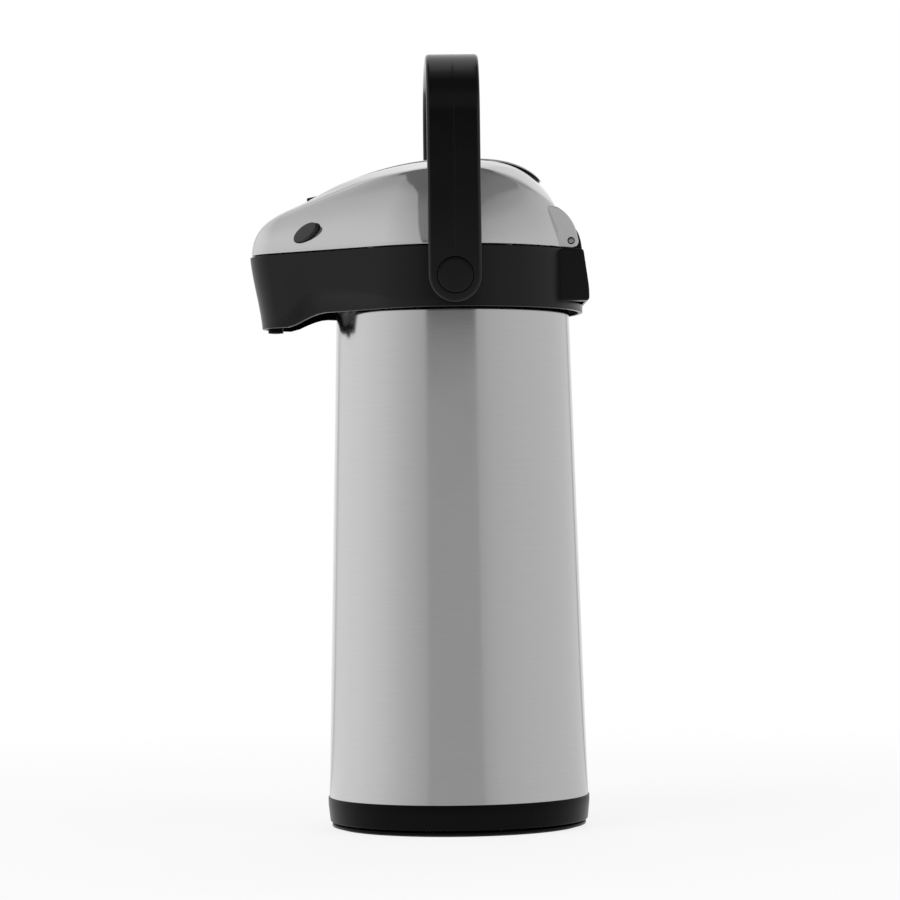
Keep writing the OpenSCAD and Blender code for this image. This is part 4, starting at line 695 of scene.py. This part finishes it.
def ovalBlock(profile, side, proud=0.0):
    # rings of the button's outline, each widened by a distance at a height; one end may stand out further
    a = np.linspace(0, 2 * math.pi, 96, endpoint=False)
    rings = []
    for d, z in profile:
        x, y = (button["long"] + d) * np.cos(a), (button["short"] + d) * np.sin(a)
        out = proud * ramp(z, button["proudFrom"], button["proudTo"]) * (0.5 - 0.5 * x / button["long"])
        rings.append(np.stack([x, y, z + out], -1))
    return placed(loft(np.stack(rings), caps=True), buttonPlace(side))


pocketProfile = cornersOf(button, "fit pocketLow, fit flareLow, flare flareHigh, flare pocketHigh")
holes = [ovalBlock(pocketProfile, side) for side in (1, -1)]
lidSkin = carved([loft(np.stack(lidRings), wrap=True)], holes)

ear = {"frontX": 54.2, "lowZ": 326.2, "toeX": 62.0, "toeZ": 326.1, "eyeR": 4.3,
       "eyeFrom": math.radians(-85), "backX": 47.27, "backZ": 329.0, "backR": 23.0,
       "backFrom": math.radians(8), "backTo": math.radians(58), "browX": 58.2, "browZ": 349.1,
       "flatX": 57.0, "flatZ": 349.3, "rootX": 51.5, "topZ": 349.5, "stepHigh": 334.2, "stepLow": 330.2,
       "inY": 36.0, "outY": 42.0, "edge": 0.7, "splay": 0.2}
earOutline = np.concatenate([
    cornersOf(ear, "frontX lowZ, toeX toeZ"),
    arcPoints(hinge["pinX"], hinge["pinZ"], ear["eyeR"], ear["eyeFrom"], 0, 12),
    arcPoints(ear["backX"], ear["backZ"], ear["backR"], ear["backFrom"], ear["backTo"], 22),
    cornersOf(ear, "browX browZ, flatX flatZ, rootX topZ, rootX stepHigh, frontX stepLow"),
])
earShell = slab(earOutline, ear["inY"], ear["outY"], ear["edge"])
outer = earShell[0][:, 1] > (ear["inY"] + ear["outY"]) / 2
earShell[0][:, 1] += ear["splay"] * (ear["rootX"] - earShell[0][:, 0]) * outer  # the face turns backwards

pin = {"r": 1.5, "half": 38.7, "holeR": 2.1, "holeHalf": 50.0}
atPin = Matrix.Translation((hinge["pinX"], 0, hinge["pinZ"])) @ quarterTurn
earShell = carved([earShell], [placed(rod(pin["holeR"], -pin["holeHalf"], pin["holeHalf"], 32), atPin)])
pinShell = placed(rod(pin["r"], -pin["half"], pin["half"], 48, (0.4, 0.4)), atPin)
makePiece("hingePin", [pinShell], finish["pinSteel"], "jug", ["hinge_pin"])

# two lugs on a shelf under the opening's nose carry the plate's pin
lug = {"x": -76.0, "z": 355.9, "r": 3.0, "inY": 8.2, "outY": 10.0, "backX": -73.0, "frontX": -79.0,
       "toeX": -80.5, "edge": 0.2, "shelfLow": 350.67, "shelfHigh": 352.67, "shelfX": -79.2,
       "shelfOut": 0.75}
lugOutline = np.concatenate([
    arcPoints(lug["x"], lug["z"], lug["r"], 0, math.pi, 16),
    cornersOf(lug, "frontX shelfHigh, toeX shelfHigh, toeX shelfLow, backX shelfLow"),
])
lugShell = slab(lugOutline, lug["inY"], lug["outY"], lug["edge"])
shelfPlan = openingPlan(lug["shelfOut"])
shelfPlan = shelfPlan[shelfPlan[:, 0] < lug["shelfX"]]
shelfShell = slab(shelfPlan, lug["shelfLow"], lug["shelfHigh"], lug["edge"], along="z")
makePiece("lidShell", [lidSkin, earShell, mirrored(earShell), lugShell, mirrored(lugShell), shelfShell],
          finish["lidLacquer"], "lid", ["lid_shell"])

edge = button["edge"]
buttonEdge = arcPoints(-0.1 - edge, button["high"] - edge, edge, 0, math.pi / 2, 7)
buttonProfile = [[-0.3, -button["len"]], [0, 0.3 - button["len"]], [0, -1], *buttonEdge, [-1.2, 0.54],
                 [-2.4, 0.56]]
for side, name in ((1, "left"), (-1, "right")):
    makePiece("releaseButton" + name.capitalize(), [ovalBlock(buttonProfile, side, button["proud"])],
              finish["buttonPlastic"], "button_" + name, ["release_button_" + name])

# push plate, its skirt and the pump below


def platePlan(d):
    return drawnBack(outline(plate["x"], plate["r"] - d, plate["tip"] - d, plate["noseR"] - d))


def plateRing(plan, share, drop, under=True):
    # a plan shrunk towards the plate's middle; its drop is measured from the plate's upper face, or from the
    # lower one, which comes nearer to the upper one towards the back
    x, y = mix(plate["x"] - plate["r"] / 2, plan[:, 0], share), plan[:, 1] * share
    thick = mix(plate["t"], plate["backT"], ease(ramp(x, plate["thinFrom"], plate["thinTo"]))) * under
    return np.column_stack([x, y, plateHeight(x, y) - drop - thick])


fan = np.linspace(0, 1, 22)
edge = plate["edge"]
plateRings = [plateRing(platePlan(edge), s, 0, False) for s in fan[:-1]]
plateRings += [plateRing(platePlan(edge * (1 - math.sin(a))), 1, edge * (1 - math.cos(a)), False)
               for a in bendIn]
plateRings += [plateRing(platePlan(0), 1, -0.1), plateRing(platePlan(0.2), 1, 0)]
plateRings += [plateRing(platePlan(0.2), s, 0) for s in (0.6, 0.3, 0)]
makePiece("pushPlate", [loft(np.stack(plateRings))], finish["lidLacquer"], "push_plate",
          ["push_plate"])

# the skirt is a shallow tray under the plate with a rim below; its tongue turns on the plate's pin, and its
# pusher bears on the bellows cap
skirt = {"out": 0.8, "in": 3.3, "gap": 0.1, "low": 2.1, "rimDeep": 5.5, "rimEdge": 0.2, "outEdge": 0.3,
         "tongueX": -71.4, "tongueLow": 353.2, "tongueHigh": 358.9, "tongueHalf": 7.5, "tongueEdge": 0.3,
         "pusher": [[0, 368.45], [2.5, 368.85], [4.5, 369.85], [6, 371.15], [7.2, 372.95], [7.8, 374.7],
                    [7.9, 376.3], [7.9, 377.6], [0, 377.6]]}
inner, outerPlan = platePlan(skirt["in"]), platePlan(skirt["out"])
skirtRings = [plateRing(inner, s, skirt["low"]) for s in (0, 0.3, 0.6, 0.8, 1)]
skirtRings += [plateRing(inner, 1, skirt["rimDeep"] - skirt["rimEdge"]),
               plateRing(platePlan(skirt["in"] - skirt["rimEdge"]), 1, skirt["rimDeep"]),
               plateRing(platePlan(skirt["out"] + skirt["outEdge"]), 1, skirt["rimDeep"]),
               plateRing(outerPlan, 1, skirt["rimDeep"] - skirt["outEdge"])]
skirtRings += [plateRing(outerPlan, s, skirt["gap"]) for s in (1, 0.8, 0.6, 0.3, 0)]
tongueOutline = np.concatenate([
    arcPoints(lug["x"], lug["z"], lug["r"], math.pi / 2, 1.5 * math.pi, 16),
    cornersOf(skirt, "tongueX tongueLow, tongueX tongueHigh"),
])
tongueShell = slab(tongueOutline, -skirt["tongueHalf"], skirt["tongueHalf"], skirt["tongueEdge"])
makePiece("plateSkirt", [loft(np.stack(skirtRings)), tongueShell, turned(skirt["pusher"], 64, wrap=False)],
          finish["basePlastic"], "push_plate", ["plate_skirt"])

# the pump lock: a foot under the shelf, a stem through it, and a knob whose top is a wedge
lock = {"y": -2.0, "front": -82.6, "back": -79.4, "low": 352.77, "collarHalf": 3.4, "collarHigh": 353.77,
        "knobHalf": 3.0, "knobLow": 353.57, "wedgeHalf": 3.2, "wedgeLow": 357.2, "wedgeZ": 358.2,
        "frontZ": 359.0, "backX": -76.4, "backLow": 359.2, "backZ": 360.3, "stemFront": -81.6,
        "stemBack": -80.4, "stemHalf": 1.2, "stemLow": 350.4, "stemHigh": 352.97, "footHalf": 2.5,
        "footLow": 349.5, "footHigh": 350.55}


def lockBlock(front, back, half, low, high, edge):
    y0, y1 = lock["y"] - lock[half], lock["y"] + lock[half]
    x0, x1 = lock[front], lock[back]
    corners = softened([[x0, y0], [x1, y0], [x1, y1], [x0, y1]], edge)
    return slab(corners, lock[low], lock[high], edge * 0.7, along="z")


wedgeOutline = softened(cornersOf(
    lock, "front wedgeLow, back wedgeZ, backX backLow, backX backZ, front frontZ"),
    [0.3, 0.3, 0.3, 0.4, 0.6])
makePiece("lockSlider", [
    lockBlock("front", "back", "collarHalf", "low", "collarHigh", 0.3),
    lockBlock("front", "back", "knobHalf", "knobLow", "wedgeZ", 0.3),
    slab(wedgeOutline, lock["y"] - lock["wedgeHalf"], lock["y"] + lock["wedgeHalf"], 0.2),
    lockBlock("stemFront", "stemBack", "stemHalf", "stemLow", "stemHigh", 0.1),
    lockBlock("front", "back", "footHalf", "footLow", "footHigh", 0.2),
], finish["buttonPlastic"], "pump_lock", ["lock_slider"])

pump = {"low": 330.5, "high": 363.6, "outR": 27.9, "inR": 22.0, "pleats": 6, "pleatPower": 0.8, "wall": 1.1,
        "springR": 14.0, "wire": 1.1, "turns": 6, "rest": 0.1, "capR": 26.0, "capLow": 363.7,
        "capHigh": 366.2, "headR": 10.0, "headHigh": 368.0}
u = np.linspace(0, 1, 145)
wave = 0.5 - 0.5 * np.cos(2 * math.pi * pump["pleats"] * u)
pleatR = mix(pump["inR"], pump["outR"], wave ** pump["pleatPower"])
pleatZ = mix(pump["low"], pump["high"], u)
pleatsIn = np.stack([pleatR - pump["wall"], pleatZ], -1)
bellowsProfile = np.concatenate([np.stack([pleatR, pleatZ], -1), pleatsIn[::-1]])
bellowsPiece = makePiece("bellowsRubber", [turned(bellowsProfile, 112)], finish["greyRubber"], "lid",
                         ["bellows"])
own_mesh(bellowsPiece)

# the wire's centre winds round Z, and the wire's circle stands across it; its first and last coil lie closed
wind = np.linspace(0, 2 * math.pi * pump["turns"], 361)[:, None]
ring = np.linspace(0, 2 * math.pi, 12, endpoint=False)[None]
reach = pump["springR"] + pump["wire"] * np.cos(ring)
wound = wind / wind.max()
climb = mix(0.04 * wound, 0.96 + 0.04 * wound, ramp(wound, 0.1, 0.9))
space = pump["wire"] + pump["rest"]
springZ = mix(pump["low"] + space, pump["high"] - space, climb) + pump["wire"] * np.sin(ring)
springRings = np.stack([reach * np.cos(wind), reach * np.sin(wind), springZ], -1)
springPiece = makePiece("returnSpring", [loft(springRings, caps=True)], finish["pinSteel"], "lid",
                        ["return_spring"])
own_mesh(springPiece)

pumpCapProfile = softened(cornersOf(
    pump, "axis capLow, capR capLow, capR capHigh, headR capHigh, headR headHigh, axis headHigh"),
    [0, 0.4, 0.8, 0.4, 0.5, 0])
makePiece("bellowsCap", [turned(pumpCapProfile, 128, wrap=False)], finish["basePlastic"], "bellows_top",
          ["bellows_cap"])

# camera, floor, light

camera = {"place": (-0.03895, -1.7928, 0.16852), "lens": 125.34, "sensor": 36, "near": 0.05, "far": 60,
          "right": (0.99971558, -0.01997456, -0.01302969), "up": (0.01251358, -0.02574906, 0.99959011),
          "look": (0.02030188, 0.99946886, 0.02549179)}
cameraData = bpy.data.cameras.new("photoCamera")
cameraData.lens, cameraData.sensor_width = camera["lens"], camera["sensor"]
cameraData.clip_start, cameraData.clip_end = camera["near"], camera["far"]
cameraObject = objectOf("photoCamera", cameraData)
turnMatrix = Matrix((camera["right"], camera["up"], [-v for v in camera["look"]])).transposed().to_4x4()
cameraObject.matrix_world = Matrix.Translation(camera["place"]) @ turnMatrix
bpy.context.scene.camera = cameraObject

# the glow of the studio round the object, by azimuth from the camera's side and by height in degrees: a
# light panel on each side with its own upper edge, and a dark gap between and above them
studio = {
    "floor": 0.86, "floorHalf": 25, "fadeFrom": 0.2, "fadeTo": 0.9, "kept": 0.82, "ambient": 0.55,
    "azimuth": [-180, -153, -152, -148, -147, -125, -100, -72, -50, -27, 22, 34, 59, 90, 140, 147, 148, 152,
                153, 180],
    "glow": [0.95, 0.95, 0.6, 0.6, 0.9, 0.95, 0.93, 0.82, 0.67, 0.53, 0.57, 0.64, 0.7, 0.74, 0.81, 0.81, 0.5,
             0.5, 0.9, 0.9],
    "leftEnd": -140, "rightEnd": 135.5,
    "edgeAzimuth": [-180, -140, -139.5, -121, -110, -99, -80, -65, -55, -47, -42, -36, -32, -29, -27, -26.5,
                    20.5, 21, 23, 26, 30, 37, 49, 58, 69, 81, 83, 135, 135.5, 180],
    "edgeHeight": [90, 90, 54, 54.2, 55.7, 56.4, 55.5, 54, 51.5, 48.5, 44.5, 37, 28, 21, 10, -90,
                   -90, 12, 20, 33, 35.5, 36.5, 36.8, 36, 34.8, 33.2, 60, 60, 90, 90],
    "leftHeight": [0, 20, 29, 35, 40, 45, 49, 52, 54, 58],
    "leftShare": [1.04, 1.1, 1.02, 0.93, 0.85, 0.78, 0.71, 0.59, 0.49, 0.45],
    "rightHeight": [0, 18, 22, 25, 28, 30, 32, 34, 36],
    "rightShare": [1, 1.02, 0.95, 0.88, 0.82, 0.73, 0.62, 0.57, 0.48],
    "gapHeight": [-90, 4.8, 5.8, 9, 23, 36, 41, 45, 52, 68, 90],
    "gapGlow": [0.48, 0.48, 0.08, 0.08, 0.25, 0.24, 0.22, 0.17, 0.12, 0.12, 0.6],
    "seenFrom": 0.345, "wallR": 2.6, "wallHalf": 165, "wallLow": -60, "apronTop": -8, "wallTop": 88,
    "clear": 0.004, "apronIn": 0.12, "apronRise": 0.02,
}


def studioGlow(azimuth, height):
    # the panels dim towards their upper edges, and above and between them the gap's own glow is left
    panel = np.interp(azimuth, studio["azimuth"], studio["glow"])
    left = np.interp(height, studio["leftHeight"], studio["leftShare"])
    right = np.interp(height, studio["rightHeight"], studio["rightShare"])
    side = np.where(azimuth < 0, left, right)
    panel = panel * np.where((azimuth < studio["leftEnd"]) | (azimuth >= studio["rightEnd"]), 1, side)
    edge = np.interp(azimuth, studio["edgeAzimuth"], studio["edgeHeight"])
    return np.where(height < edge, panel, np.interp(height, studio["gapHeight"], studio["gapGlow"]))


def emptied(holder):
    # a material's or a world's node tree without its nodes
    holder.use_nodes = True
    holder.node_tree.nodes.clear()
    return holder.node_tree.nodes, holder.node_tree.links


def seenDirectly(nodes, links):
    # 1 where a ray comes from the camera or from a glossy or clear surface, otherwise 0
    lightPath = nodes.new("ShaderNodeLightPath")
    seen, anySeen = (nodes.new("ShaderNodeMath") for k in range(2))
    seen.operation = anySeen.operation = "MAXIMUM"
    links.new(lightPath.outputs["Is Camera Ray"], seen.inputs[0])
    links.new(lightPath.outputs["Is Glossy Ray"], seen.inputs[1])
    links.new(seen.outputs[0], anySeen.inputs[0])
    links.new(lightPath.outputs["Is Transmission Ray"], anySeen.inputs[1])
    return anySeen.outputs[0]


def mixedInto(output, share, first, second, nodes, links):
    # the first shader changes into the second with the share
    both = nodes.new("ShaderNodeMixShader")
    for socket, source in enumerate((share, first, second)):
        links.new(source, both.inputs[socket])
    links.new(both.outputs[0], output.inputs["Surface"])


# the floor is matt for the object's light, and glows white where it is seen, a little less near the object
floorMaterial = bpy.data.materials.new("paleFloor")
nodes, links = emptied(floorMaterial)
output, matt = nodes.new("ShaderNodeOutputMaterial"), nodes.new("ShaderNodeBsdfDiffuse")
glow = nodes.new("ShaderNodeEmission")
matt.inputs["Color"].default_value = (*[studio["floor"]] * 3, 1)
where, far = nodes.new("ShaderNodeNewGeometry"), nodes.new("ShaderNodeVectorMath")
fade, kept = nodes.new("ShaderNodeMapRange"), nodes.new("ShaderNodeMath")
far.operation, kept.operation = "LENGTH", "MULTIPLY"
fade.inputs["From Min"].default_value = studio["fadeFrom"]
fade.inputs["From Max"].default_value = studio["fadeTo"]
fade.inputs["To Min"].default_value = studio["kept"]
links.new(where.outputs["Position"], far.inputs[0])
links.new(far.outputs["Value"], fade.inputs["Value"])
links.new(seenDirectly(nodes, links), kept.inputs[0])
links.new(fade.outputs["Result"], kept.inputs[1])
mixedInto(output, kept.outputs[0], matt.outputs[0], glow.outputs[0], nodes, links)
floorMesh = bpy.data.meshes.new("floor")
wide = studio["floorHalf"]
floorCorners = [(-wide, -wide, 0), (wide, -wide, 0), (wide, wide, 0), (-wide, wide, 0)]
floorMesh.from_pydata(floorCorners, [], [(0, 1, 2, 3)])
floorMesh.materials.append(floorMaterial)
objectOf("floor", floorMesh)

# a studio wall, part of a sphere round the camera's side, seen only in reflections; its glow changes round Z
# and upwards, and an apron leads from the object's foot to it
sweepAngles = np.radians(np.linspace(-studio["wallHalf"], studio["wallHalf"], 661))
wallHeights = np.linspace(studio["apronTop"], studio["wallTop"], 241)
azimuth, height = np.meshgrid(sweepAngles, np.radians([studio["wallLow"], *wallHeights]))
apron = studio["apronRise"] / np.tan(np.maximum(-height, 1e-3)) + studio["apronIn"]
reach = np.minimum(np.where(height < 0, apron, studio["wallR"] * np.cos(height)), studio["wallR"])
sweepZ = studio["clear"] + np.where(height < 0, 0, studio["wallR"] * np.sin(height))
sweepPoints = np.stack([reach * np.sin(azimuth), -reach * np.cos(azimuth), sweepZ], -1).reshape(-1, 3)
sweepMesh = bpy.data.meshes.new("studioWall")
sweepMesh.from_pydata(sweepPoints.tolist(), [], gridFaces(*azimuth.shape))
seenHeight = np.degrees(np.arctan2(sweepZ - studio["seenFrom"], reach))
brightness = studioGlow(np.degrees(azimuth), seenHeight).ravel().astype(np.float32)
sweepMesh.attributes.new("glow", "FLOAT", "POINT").data.foreach_set("value", brightness)
wallMaterial = bpy.data.materials.new("studioWall")
nodes, links = emptied(wallMaterial)
output, glow = nodes.new("ShaderNodeOutputMaterial"), nodes.new("ShaderNodeEmission")
reader = nodes.new("ShaderNodeAttribute")
reader.attribute_name = "glow"
links.new(reader.outputs["Fac"], glow.inputs["Strength"])
links.new(glow.outputs[0], output.inputs["Surface"])
sweepMesh.materials.append(wallMaterial)
studioWall = objectOf("studioWall", sweepMesh)
studioWall.visible_camera = studioWall.visible_diffuse = studioWall.visible_shadow = False
studioWall.visible_transmission = studioWall.visible_volume_scatter = False

# white where it is seen, and dimmer as the light on matt surfaces
world = bpy.data.worlds.new("studio")
bpy.context.scene.world = world
nodes, links = emptied(world)
output = nodes.new("ShaderNodeOutputWorld")
ambient, white = (nodes.new("ShaderNodeBackground") for k in range(2))
ambient.inputs["Color"].default_value = white.inputs["Color"].default_value = (1, 1, 1, 1)
ambient.inputs["Strength"].default_value = studio["ambient"]
mixedInto(output, seenDirectly(nodes, links), ambient.outputs[0], white.outputs[0], nodes, links)

aim = Vector((0, 0, 0.2))
lamps = {
    "keyLamp": {"place": (-1.7, -1.5, 1.7), "size": 1.3, "power": 18},
    "fillLamp": {"place": (1.8, -1.3, 1.2), "size": 1.3, "power": 9},
    "backLamp": {"place": (0.3, 1.8, 1.8), "size": 1.4, "power": 12},
}
for name, lamp in lamps.items():
    light = bpy.data.lights.new(name, "AREA")
    light.shape, light.size, light.energy = "SQUARE", lamp["size"], lamp["power"]
    lampObject = objectOf(name, light)
    lampObject.location = lamp["place"]
    lampObject.rotation_euler = (Vector(lamp["place"]) - aim).to_track_quat("Z", "Y").to_euler()
    lampObject.visible_glossy = False

bpy.context.scene.view_settings.view_transform = "Standard"
print("stage and light")
